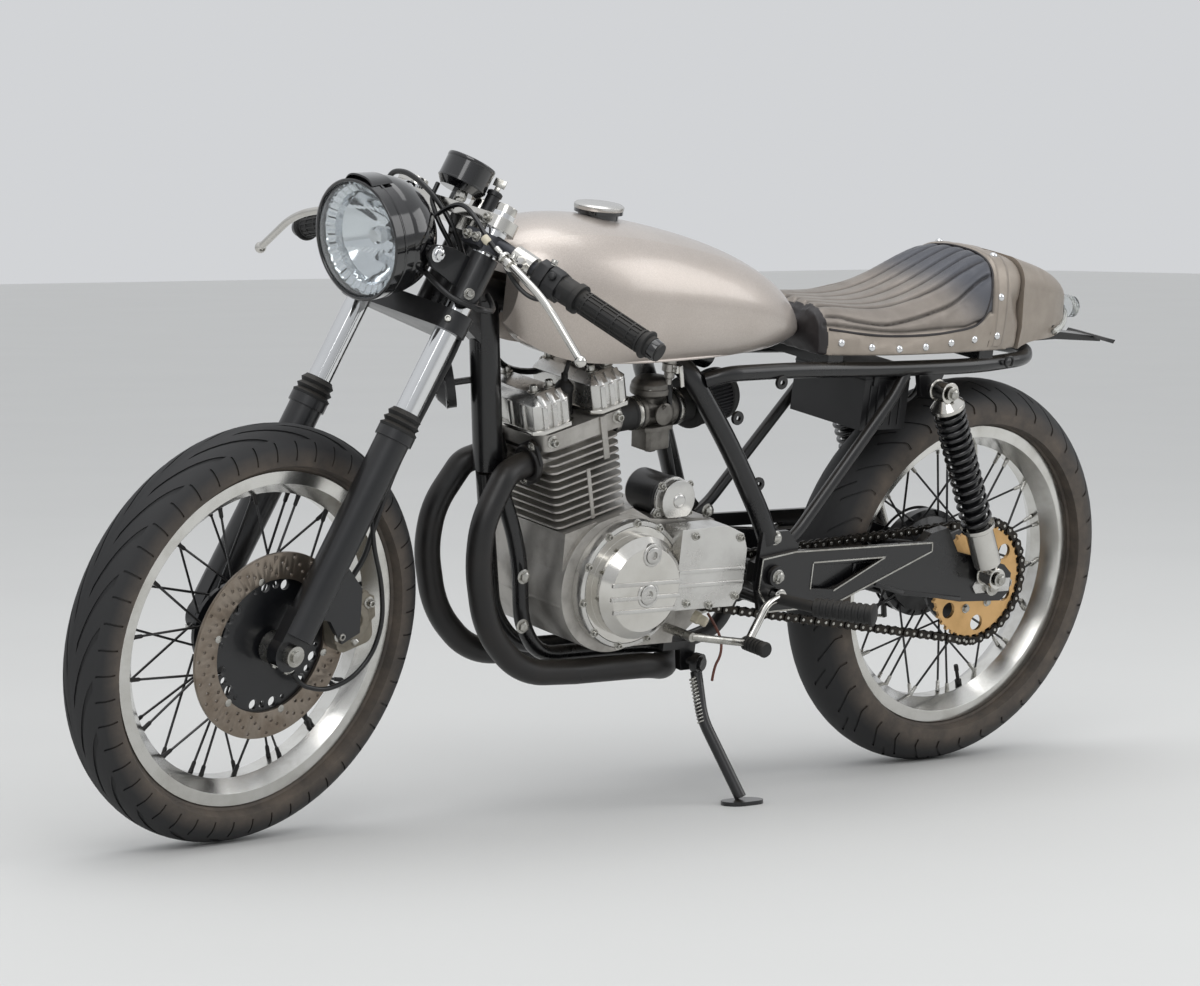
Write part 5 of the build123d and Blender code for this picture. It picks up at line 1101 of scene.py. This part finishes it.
# Clip-on clamps: a block in front of each fork tube, then the screws and bolts of the cockpit
block = bar((60, 88, 632), (79, 88, 632), 36, 24, UP)
on_fork(both_sides(block), "clip_on_blocks", grey_anodised, edge=1.5)
screws = [
    aim((79, 79, 632), FORWARD), aim((79, 97, 632), FORWARD), aim((73, 93, 664), (1, 0.2, 0)),
    aim((58, 112, 556), (0.5, 0.86, 0)), aim((66, 105, 512), (0.8, 0.6, 0)),
    aim(on_bar(0.34) + Vector((6, 4, 19)), (0.2, 0.1, 1)), aim((78, 178, 618), UP),
]
on_fork(scattered(cap_screw(5), both_places(screws)), "cockpit_screws", zinc_steel)
lamp_bolts = both_places([aim((128, 93.4, 582), LEFT)])
on_fork(scattered(hex_bolt(8.5), lamp_bolts), "headlamp_bolts", chrome_plate)
caps = []
for side in (1, -1):
    cap = turned([(0, 686), (6, 686), (6.4, 690.8), (11, 693.5), (14.5, 693), (15.4, 690), (15.4, 676)], 30)
    caps.append(moved(cap, FORK_OFFSET, side * LEG_SPREAD, 0))
nut = turned([(8, 700), (8, 696), (15.5, 699.8), (17.5, 698), (20.5, 676), (20.5, 673.4), (23.5, 673.2)], 12)
on_fork(joined(nut, *caps), "fork_caps_and_stem_nut", polished_alloy, smooth=25)

# Clutch cable: it runs from the lever's threaded adjuster to behind the headlamp, with a cream collar
cable = [
    (86, 166, 614), (96, 138, 628), (98, 100, 652), (92, 58, 668), (84, 26, 660), (82, 4, 636), (94, -6, 610),
]
on_fork(tube(cable, 3.4), "clutch_cable", cable_sheath)
cable_start = Vector(cable[1]) - Vector(cable[0])
adjuster = turned([
    (3.6, 34), (4.6, 33), (4.6, 24), (3.8, 23), (3.8, 17), (9, 17), (9.4, 16), (9.4, 13), (9, 12), (4.8, 12),
    (4.8, 6), (7.4, 6), (7.4, 0), (0, 0),
], 20)
on_fork(placed(adjuster, aim((80, 180, 609), cable_start)), "clutch_adjuster", polished_alloy, smooth=30)
collar = turned([(3.6, 12), (5.6, 11), (6, 8), (6, 3), (5, 0), (3.6, -1)], 20)
on_fork(placed(collar, aim((95, 139, 626), cable_start)), "cable_collar", cream_nylon)
loom = [
    ([(112, 58, 560), (92, 104, 538), (70, 134, 538), (30, 138, 546), (2, 112, 560), (-4, 84, 574)], 4.2),
    ([(104, -30, 590), (80, -52, 566), (66, -54, 540), (62, -40, 520)], 5),
    ([(0, -128, 668), (20, -112, 650), (60, -92, 660), (88, -52, 652), (98, -20, 624)], 2.6),
]
on_fork(joined(*[tube(line, radius) for line, radius in loom]), "headlamp_loom", cable_sheath)

# Ferrule and rubber boot of the speedometer drive below the cup
cable_end = aim((62, 14, 690), (-0.1, -0.35, 1))
ferrule = turned([(0, 0), (7, 0), (8.6, -2), (8.6, -12), (6.4, -14), (6.4, -20)], 8)
boot = turned([(6.2, -18), (7.6, -20), (8.2, -30), (6.8, -36), (7.4, -42), (6, -50), (4.4, -60), (3.4, -66)], 20)
on_fork(placed(ferrule, cable_end), "speedometer_ferrule", zinc_steel, smooth=25)
on_fork(placed(boot, cable_end), "speedometer_boot", black_rubber)

# Speedometer: black rim and hoop, dial with marks and a needle; ignition lock and key beside it
rim = turned([(31.8, 735.9), (33.6, 737), (35.6, 736.6), (36.4, 735), (36.4, 731), (35.9, 730.4)], 64)
hoop = turned([(35.9, 700), (36.6, 700.4), (36.6, 703), (35.9, 703.4)], 64)
on_fork(moved(joined(rim, hoop), GAUGE_X, 0, 0), "speedometer_rim", gloss_black, smooth=60)
dial = moved(turned([(0, 732.6), (24, 732.6), (31.6, 732.9), (31.6, 732.2)], 64), GAUGE_X, 0, 0)
on_fork(dial, "speedometer_dial", gloss_black, slot="black_plastic")
marks = []
for index in range(25):
    reach, width = (22, 1.1) if index % 2 else (19.5, 1.9)
    (x, y), (far_x, far_y) = [polar(length, -220 + index * 260 / 24) for length in (reach, 28)]
    marks.append(bar((-x, y, 733), (-far_x, far_y, 733.1), width, 0.5, UP))
marks.append(bar((5, 3, 733.8), (-17, -12, 733.8), 1.8, 0.6, UP))
marks.append(turned([(0, 734.6), (3, 734.4), (4, 733.4)], 20))
on_fork(moved(joined(*marks), GAUGE_X, 0, 0), "speedometer_marks", dial_white)
lock = turned([(10, 672), (10, 706), (11.5, 707), (11.5, 712), (9, 714), (3, 714), (3, 712), (0, 712)], 28)
on_fork(moved(lock, 18, 30, 0), "ignition_lock", black_plastic)
key = joined(plate(oblong(2, 8), 8), moved(plate(oblong(2.4, 18), 12), 0, 0, 8))
key_place = Matrix.Translation((18, 30, 713)) @ Matrix.Rotation(radians(30), 4, "Z")
on_fork(placed(key, key_place), "ignition_key", zinc_steel, edge=0.6)

# Headlamp: small peak over the glass, and the seam of the bowl
crest = []
for angle in range(-19, 20, 2):
    swell = 1 - (abs(angle) / 19) ** 4
    section = (
        (72, 85.7), (72, 86.4 + 2.4 * swell), (109, 87 + 6.4 * swell), (110, 85.6 + 5.6 * swell), (104, 85.4),
        (72, 85.7),
    )
    crest += [(reach * sin(radians(angle)), reach * cos(radians(angle)), along) for along, reach in section]
chosen()
bpy.ops.mesh.primitive_grid_add(x_subdivisions=5, y_subdivisions=19, size=1)
peak = bpy.context.active_object
in_rows = sorted(peak.data.vertices, key=lambda vertex: (round(vertex.co.y, 5), vertex.co.x))
for vertex, point in zip(in_rows, crest):
    vertex.co = point
opened()
welded(0.001)
seam = turned([(85.9, 92), (86.6, 92.6), (86.6, 95), (85.9, 95.6)], 96)
on_fork(joined(peak, seam), "headlamp_peak", gloss_black, lamp_place)

# Brake: lid of the reservoir with its screws, the caliper's cap and web with bolts; nuts of the axle clamps
lid = turned([(0, 697.6), (17, 697.6), (19, 696.4), (22, 696), (22, 690), (21.2, 689.6)], 40)
on_fork(moved(lid, 0, RESERVOIR_Y, 0), "reservoir_lid", polished_alloy)
screws = [aim((13, RESERVOIR_Y + 6, 697)), aim((-13, RESERVOIR_Y - 6, 697))]
on_fork(scattered(cap_screw(2.4), screws), "reservoir_screws", zinc_steel)
pot = turned([(27, 0), (27, 3), (24, 7), (13, 8), (11, 6), (11, 4), (6, 4), (5.6, 6), (0, 6)], 40)
web = side_plate([(-82, 104), (-62, 128), (-40, 126), (-16, 62), (-36, 42), (-60, 46)], 80, 88.6)
on_fork(joined(placed(pot, aim((-49, 86, 83), LEFT)), web), "caliper_cap", caliper_paint, edge=1.6)
bolts = [aim((-58, 88.6, 116), LEFT), aim((-34, 88.6, 55), LEFT), aim((-66, 84, 60), (-0.6, 0.6, -0.3))]
on_fork(scattered(cap_screw(5.5), bolts), "caliper_bolts", zinc_steel)
nuts = [aim((FORK_OFFSET + x, side * LEG_SPREAD, -23), DOWN) for x in (-13, 13) for side in (1, -1)]
on_fork(scattered(hex_bolt(4.6), nuts), "axle_clamp_nuts", zinc_steel)

# Fuel tank: pressed seam along its lower edge, top of the filler cap, fuel tap with its lever, hoses
edge = [
    (428, 26, 713), (455, 50, 708), (520, 76, 703), (620, 97, 698.5), (720, 106, 696), (800, 110, 695.4),
    (880, 104, 698), (935, 90, 706), (975, 60, 728),
]
on_frame(both_sides(tube(edge, 2.6)), "tank_seam", tank_paint)
cap = turned([
    (30, 897), (34.5, 898), (36.6, 901), (36.8, 906), (34, 908.4), (30, 909), (22, 909.6), (0, 910),
], 56)
on_frame(moved(cap, FILLER_X, 0, 0), "filler_cap_top", cover_alloy)
tap = turned([(0, 0), (9, 0), (9, 12), (12, 13), (12, 24), (8, 26), (8, 34), (5, 36), (5, 44)], 24)
on_frame(placed(tap, aim((668, 46, 690), DOWN)), "fuel_tap", cast_alloy)
pivot = bar((668, 56, 672), (668, 68, 672), 12, 12, UP)
lever = bar((668, 69, 678), (660, 69, 646), 7, 3, LEFT)
on_frame(joined(pivot, lever), "fuel_tap_lever", polished_alloy, edge=0.9)
hoses = [
    ([(668, 46, 648), (666, 52, 628), (660, 44, 606), (650, 32, 596)], 4.2),
    ([(640, 20, 572), (636, 30, 540), (628, 40, 500), (622, 52, 440), (618, 54, 330), (612, 50, 238)], 3.4),
    ([(1000, -24, 760), (960, -30, 700), (880, -60, 640), (720, -70, 660), (560, -70, 672), (420, -78, 676)], 5),
]
on_frame(joined(*[tube(line, radius) for line, radius in hoses]), "frame_hoses", cable_sheath)
drain = [(570, 84, 300), (564, 98, 284), (555, 106, 262), (556, 109, 240), (566, 108, 222), (563, 104, 200)]
on_frame(tube(drain, 2.2), "drain_hose", drain_hose)
switch = turned([(10, 0), (10, 10), (8.4, 12), (8.4, 22), (6, 24), (0, 24)], 6)
switch_place = aim((604, 90, 300), (-0.5, 0.8, -0.3))
on_frame(placed(switch, switch_place), "neutral_switch", cream_nylon, edge=0.8, slot="black_plastic")

# Carburettor between two rubber sleeves with bright clamps: body, round chamber, float bowl, spigot and crank
inlet = Vector((757, 20, 592.4))
inward = Vector((-106, 0, 12)).normalized()
chamber_up = Vector((0.112, 0, 0.994))
throat = inlet + inward * 84
sleeves = [
    turned([(22, 0), (25, 1), (25, 12), (23.4, 14), (23.4, 40), (25, 42), (25, 54), (22, 55)], 40),
    turned([(24, 118), (28, 119), (28, 130), (26, 132), (26, 146), (27, 150), (24, 152)], 40),
]
on_frame(placed(joined(*sleeves), aim(inlet, inward)), "intake_sleeves", black_rubber)
clamps = []
for along, radius in ((3, 25.6), (45, 25.6), (121, 28.6)):
    band = turned([(radius - 0.8, 0), (radius, 0), (radius, 7), (radius - 0.8, 7)], 48)
    lug = bar((radius + 1, -7, 3.5), (radius + 1, 7, 3.5), 7, 6, FORWARD)
    clamps.append(placed(joined(band, lug), aim(inlet + inward * along, inward)))
on_frame(joined(*clamps), "intake_clamps", zinc_steel, edge=0.3)
barrel = turned([
    (0, 48), (22, 48), (22, 54), (25.5, 56), (25.5, 62), (23, 64), (23, 104), (27, 108), (27, 116), (24, 120),
    (0, 120),
], 40)
chamber = turned([
    (20, 10), (22, 22), (31, 27), (32, 29), (32, 36), (30.5, 37), (30, 43), (24, 50), (12, 53), (0, 53),
], 44)
bowl_outline = [(-27, -20), (-20, -27), (18, -27), (24, -20), (24, 20), (18, 27), (-20, 27), (-27, 20)]
bowl_low = moved(plate([(x * 0.86, y * 0.84) for x, y in bowl_outline], 30), 0, 0, 6)
plug = turned([(10, 34), (10, 41), (8, 43), (0, 43)], 6)
float_bowl = joined(plate(bowl_outline, 7), bowl_low, plug)
spigot = tube([throat + Vector(step) for step in ((6, 18, 4), (6, 30, 5), (5, 36, 14))], 3.2)
crank = turned([(0, 24), (4, 24), (4, 29), (16, 29), (17, 30), (17, 33), (13, 34), (0, 34)], 28)
carburettor = joined(
    placed(barrel, aim(inlet, inward)), placed(chamber, aim(throat, chamber_up)),
    placed(float_bowl, aim(throat - chamber_up * 20, -chamber_up)), spigot, placed(crank, aim(throat, LEFT)),
)
on_frame(carburettor, "carburettor_body", carburettor_zinc, edge=1.0, stands_for=["carburettor"])
screws = [Matrix.Translation((*polar(27.5, angle), 37)) for angle in (45, 135, 225, 315)]
screws = [aim(throat, chamber_up) @ screw for screw in screws]
on_frame(scattered(cap_screw(2.6), screws), "carburettor_screws", zinc_steel)

# Pod filter: forty-four pleats of gauze between rubber ends
star = []
for fold in range(44):
    for reach, turn in ((38.4, 0), (38.4, 0.3), (34.8, 0.5), (34.8, 0.8)):
        star.append(polar(reach, 360 * (fold + turn) / 44))
pleats = moved(plate(star, 70), 0, 0, 4)
end_rings = joined(
    turned([(24, -3), (36, -3), (40, 0), (40, 6), (38, 8), (30, 8)], 48),
    turned([(38, 66), (40, 68), (40, 78), (37, 83), (30, 85), (0, 85.6)], 48),
)
filter_place = aim((604, 19, 611), (-76, -16, 8))
on_frame(placed(pleats, filter_place), "filter_pleats", filter_gauze, smooth=20, stands_for=["air_filter"])
on_frame(placed(end_rings, filter_place), "filter_ends", black_rubber)

# Spark plug cap in the valley between the cam covers, with its lead up to the spine
cap = turned([(15, 0), (16, 4), (13, 8), (12, 40), (14, 44), (14, 50), (8, 58), (5, 60), (5, 70), (0, 70)], 28)
lead = tube([(-8, 35, 212), (-10, 42, 226), (-20, 36, 236), (-40, 14, 240), (-60, 4, 238)], 3.6)
on_frame(joined(placed(cap, aim((-8, 22, 146), (0, 0.2, 1))), lead), "spark_plug_cap", black_rubber, engine)

# Exhaust: collars with two nuts at the ports, end cap and band of the muffler
collars, nuts = [], []
for side in (1, -1):
    port = aim((73, side * 42, 104), FORWARD)
    ring = turned([(19.6, 0), (27, 0), (28, 2), (28, 8), (26, 10), (21, 10), (19.6, 9)], 40)
    ears = plate([
        (-38, -8), (-34, -12), (-16, -26), (16, -26), (34, -12), (38, -8), (38, 8), (34, 12), (16, 26), (-16, 26),
        (-34, 12), (-38, 8),
    ], 6)
    ears = cut(ears, turned([(0, -2), (20, -2), (20, 8), (0, 8)], 32))
    collars.append(placed(joined(ring, ears), port @ Matrix.Rotation(radians(65), 4, "Z")))
    nuts += [port @ Matrix.Translation((*polar(31, angle), 6)) for angle in (65, 245)]
on_frame(joined(*collars), "exhaust_collars", exhaust_black, engine, edge=0.8)
on_frame(scattered(hex_bolt(5.4), nuts), "exhaust_nuts", zinc_steel, engine)
muffler_along = Vector((-212, -19, 34)).normalized()
end_cap = turned([
    (32.4, -16), (33.6, -15), (33.6, -2), (31, 3), (22, 5), (15, 5), (13, 2), (13, -24), (0, -24),
], 48)
on_frame(placed(end_cap, aim((252, -157.8, 282.7), muffler_along)), "muffler_end_cap", exhaust_black)
band = turned([(32.2, 0), (33.6, 0.6), (33.6, 15), (32.2, 15.6)], 56)
on_frame(placed(band, aim((400, -144.6, 258.9), muffler_along)), "muffler_band", zinc_steel)


# Bars along lines of a side plane, each one from an X and a Z to the next.
def side_bars(lines, y, width, depth):
    return [bar((x, y, z), (far_x, y, far_z), width, depth, LEFT) for (x, z), (far_x, far_z) in lines]


# Swingarm: pressed ribs, chain adjusters; washers and nuts of the shock absorbers; bolts of the chain wheel
ribs = side_bars([
    ((486, 374), (205, 368)), ((206, 361), (352, 327)), ((300, 367), (300, 341)), ((250, 331), (186, 313)),
    ((186, 313), (60, 295)), ((150, 396), (172, 375)),
], 106, 6, 3)
on_frame(both_sides(joined(*ribs)), "swingarm_ribs", frame_enamel, edge=1.0)
adjuster = side_plate([(-44, 302), (30, 302), (38, 313), (30, 324), (-44, 324)], 105.3, 109)
on_frame(both_sides(adjuster), "chain_adjusters", cover_alloy, edge=0.8)
nuts = [aim((-48, 96, REAR_RADIUS), BACKWARD)] + [aim((x, 149, z), LEFT) for x, z in (SHOCK_TOP, SHOCK_FOOT)]
on_frame(scattered(hex_bolt(8), both_places(nuts)), "rear_nuts", zinc_steel)
washers = []
for x, z in (SHOCK_TOP, SHOCK_FOOT):
    for y in (113, 141):
        washer = turned([(9, 0), (16, 0), (17, 1), (17, 3), (16, 4), (9, 4), (9, 0)], 28)
        washers.append(placed(washer, aim((x, y, z), LEFT)))
on_frame(both_sides(joined(*washers)), "shock_eye_washers", polished_alloy)
bolts = []
for angle in range(50, 410, 60):
    x, z = polar(47, angle)
    bolts.append(leftward(x, 77.9, z))
settled(scattered(hex_bolt(5.5), bolts), "chain_wheel_bolts", "rear_wheel", zinc_steel, rear_wheel)

# Footrests: ringed rubbers, bright steel strips along their plates' edges as painted highlights, shift pedal with
# its toe rubber and link rod
rings = [turned([(13.8, z), (15.6, z + 1), (15.6, z + 5), (13.8, z + 6)], 28) for z in range(6, 86, 10)]
rings.append(turned([(13.8, 88), (17, 89), (17.4, 91), (17, 93), (13, 94.6), (0, 94.8)], 32))
peg = placed(joined(*rings), aim((460, 198, 331), (-46, 82, 6)))
on_frame(both_sides(peg), "peg_rubbers", black_rubber, slot="grip_rubber")
# Bright steel strips along the plates' outline and window: painted highlights where light catches their edges
outline = [(505, 388), (440, 396.4), (153, 394.6), (151.4, 381), (352, 307.4), (481, 305.6), (506.6, 340)]
edge_highlights = side_bars(zip(outline, outline[1:] + outline[:1]), PEG_PLATE_Y, 2.4, 1.4)
edge_highlights += side_bars([
    ((400, 377.4), (250, 377.4)), ((250, 377.4), (352, 330.4)), ((401, 376), (401, 336)),
], PEG_PLATE_Y, 2.2, 1.2)
on_frame(both_sides(joined(*edge_highlights)), "peg_plate_edge_highlights", zinc_steel)
pedal = tube([(472, 134, 331), (500, 138, 328), (520, 146, 306), (546, 154, 272)], 6.4, 3)
boss = placed(turned([(0, 0), (12, 0), (12, 12), (10, 13), (0, 13)], 28), aim((472, 122, 331), LEFT))
on_frame(joined(pedal, boss), "shift_pedal", polished_alloy)
rings = [turned([(9.2, z), (11.4, z + 0.6), (11.4, z + 5), (9.2, z + 5.6)], 24) for z in range(4, 40, 7)]
rings.append(turned([(9.2, 44), (12, 45), (12, 48), (10, 50.6), (0, 51)], 24))
toe = placed(joined(*rings), aim((546, 146, 270), LEFT))
on_frame(toe, "shift_toe_rubber", black_rubber, slot="grip_rubber")
link = tube([(546, 142, 266), (590, 140, 270), (636, 136, 279), (656, 134, 284)], 2.6)
on_frame(link, "shift_link_rod", zinc_steel)

# Frame: bored tabs on the uprights and rails, spring of the side stand, rings of the horn
tabs = []
for at in ((514, 97, 500), (493, 98, 655), (560, 84, 600)):
    tab = turned([(4.4, 0), (10, 0), (10.6, 1), (10.6, 5), (10, 6), (4.4, 6), (4.4, 0)], 24)
    tabs.append(placed(tab, aim(at, LEFT)))
on_frame(joined(*tabs), "frame_tabs", frame_enamel)
SPRING_TURNS = 13
spring_from, spring_to = Vector((597, 97, 206)), Vector((590, 121, 140))
spring_run = spring_to - spring_from
turns = [index / 8 for index in range(SPRING_TURNS * 8 + 1)]
wire = [(*polar(5.2, 360 * turn), spring_run.length * turn / SPRING_TURNS) for turn in turns]
spring = placed(tube(wire, 1.3, 1, 2), aim(spring_from, spring_run))
settled(spring, "stand_spring", "side_stand", zinc_steel, machine, smooth=60, slot="spring_steel")
rings = [turned([(r, 26.1), (r + 0.8, 27.6), (r + 2, 27.6), (r + 2.8, 26.1)], 40) for r in (3, 8, 13, 18)]
rim = turned([(35, 12), (37.4, 12.6), (37.4, 15), (35, 15.6)], 48)
horn = placed(joined(rim, *rings), aim((1010, -30, 643), (25, -16, -7)))
on_frame(horn, "horn_rings", gloss_black, slot="black_plastic")

# Right side: rim, stepped face and oil filler of the clutch cover, its screws; ribs and arm of the rear drum
edge = turned([(93, 118), (97, 117), (98, 112), (98, 104), (93, 104)], 72)
step = turned([(70, 145), (70, 148), (66, 150), (60, 150), (56, 147.4), (20, 147.4), (18, 149), (0, 149)], 64)
filler = moved(turned([(16, 146), (16, 150), (13, 151), (13, 158), (11, 160), (0, 160)], 8), 34, 42, 0)
cover = placed(joined(edge, step, filler), rightward(CLUTCH[0], 0, CLUTCH[1]))
on_frame(cover, "clutch_cover_trim", cover_alloy, edge=0.8)
screws = bolt_circle(CLUTCH, -117, 95, range(12, 372, 40), RIGHT)
on_frame(scattered(cap_screw(4.2), screws), "clutch_cover_screws", zinc_steel)
drum = [turned([(r, 74), (r + 1, 76), (r + 4, 76), (r + 5, 74)], 56) for r in (34, 58, 82)]
arm = tube([(46, -80, 262), (40, -82, 236), (34, -83, 216)], 5, 2)
drum_ribs = joined(placed(joined(*drum), rightward(0, 0, REAR_RADIUS)), arm)
on_frame(drum_ribs, "drum_ribs", frame_enamel, smooth=30)
rod = tube([(34, -83, 216), (200, -100, 240), (400, -118, 268), (520, -124, 282)], 2.6)
on_frame(rod, "brake_rod", zinc_steel)

# Box of the electrics: seam of its lid, ribs, two latches on each side, a plug with its lead
box = [moved(plate(oblong(95.2, 161.2), 3), 253, 0, 646)]
for side in (1, -1):
    for x in (222, 238, 254, 270, 286):
        box.append(bar((x, side * 80.2, 576), (x, side * 80.2, 640), 3, 2.4, LEFT))
    for x in (228, 278):
        box.append(bar((x, side * 81, 638), (x, side * 81, 656), 12, 4, LEFT))
plug = turned([(9, 0), (9, 12), (7, 14), (5, 14), (5, 22), (0, 22)], 20)
box.append(placed(plug, aim((206, 52, 606), BACKWARD)))
box.append(tube([(186, 52, 606), (168, 52, 610), (152, 50, 640), (150, 48, 668)], 4))
on_frame(joined(*box), "electrics_trim", black_plastic, edge=0.5)

# Tail: clear lamp loop with its white core and black gasket, ring below the seat
half = [(-104, 74, 713), (-134, 59, 717), (-158, 41, 724), (-177, 21, 738)]
loop = half + [(-186, 0, 746)] + [(x, -y, z) for x, y, z in reversed(half)]
on_frame(tube(loop, 5.2, 3, 8), "tail_lamp_loop", lamp_glass, smooth=60, slot="tail_glass")
on_frame(tube(loop, 2.8, 2, 8), "tail_lamp_core", dial_white, smooth=60, slot="tail_glass")
gasket = [(x + 4, y * 0.93, z + 8) for x, y, z in loop]
on_frame(tube(gasket, 3.2, 2, 8), "tail_lamp_gasket", black_rubber, smooth=60)
circle = [polar(9, angle) for angle in range(0, 360, 45)]
on_frame(tube([(14 + x, 99, 673 + z) for x, z in circle], 2.2, 2, 4, True), "luggage_ring", frame_enamel)
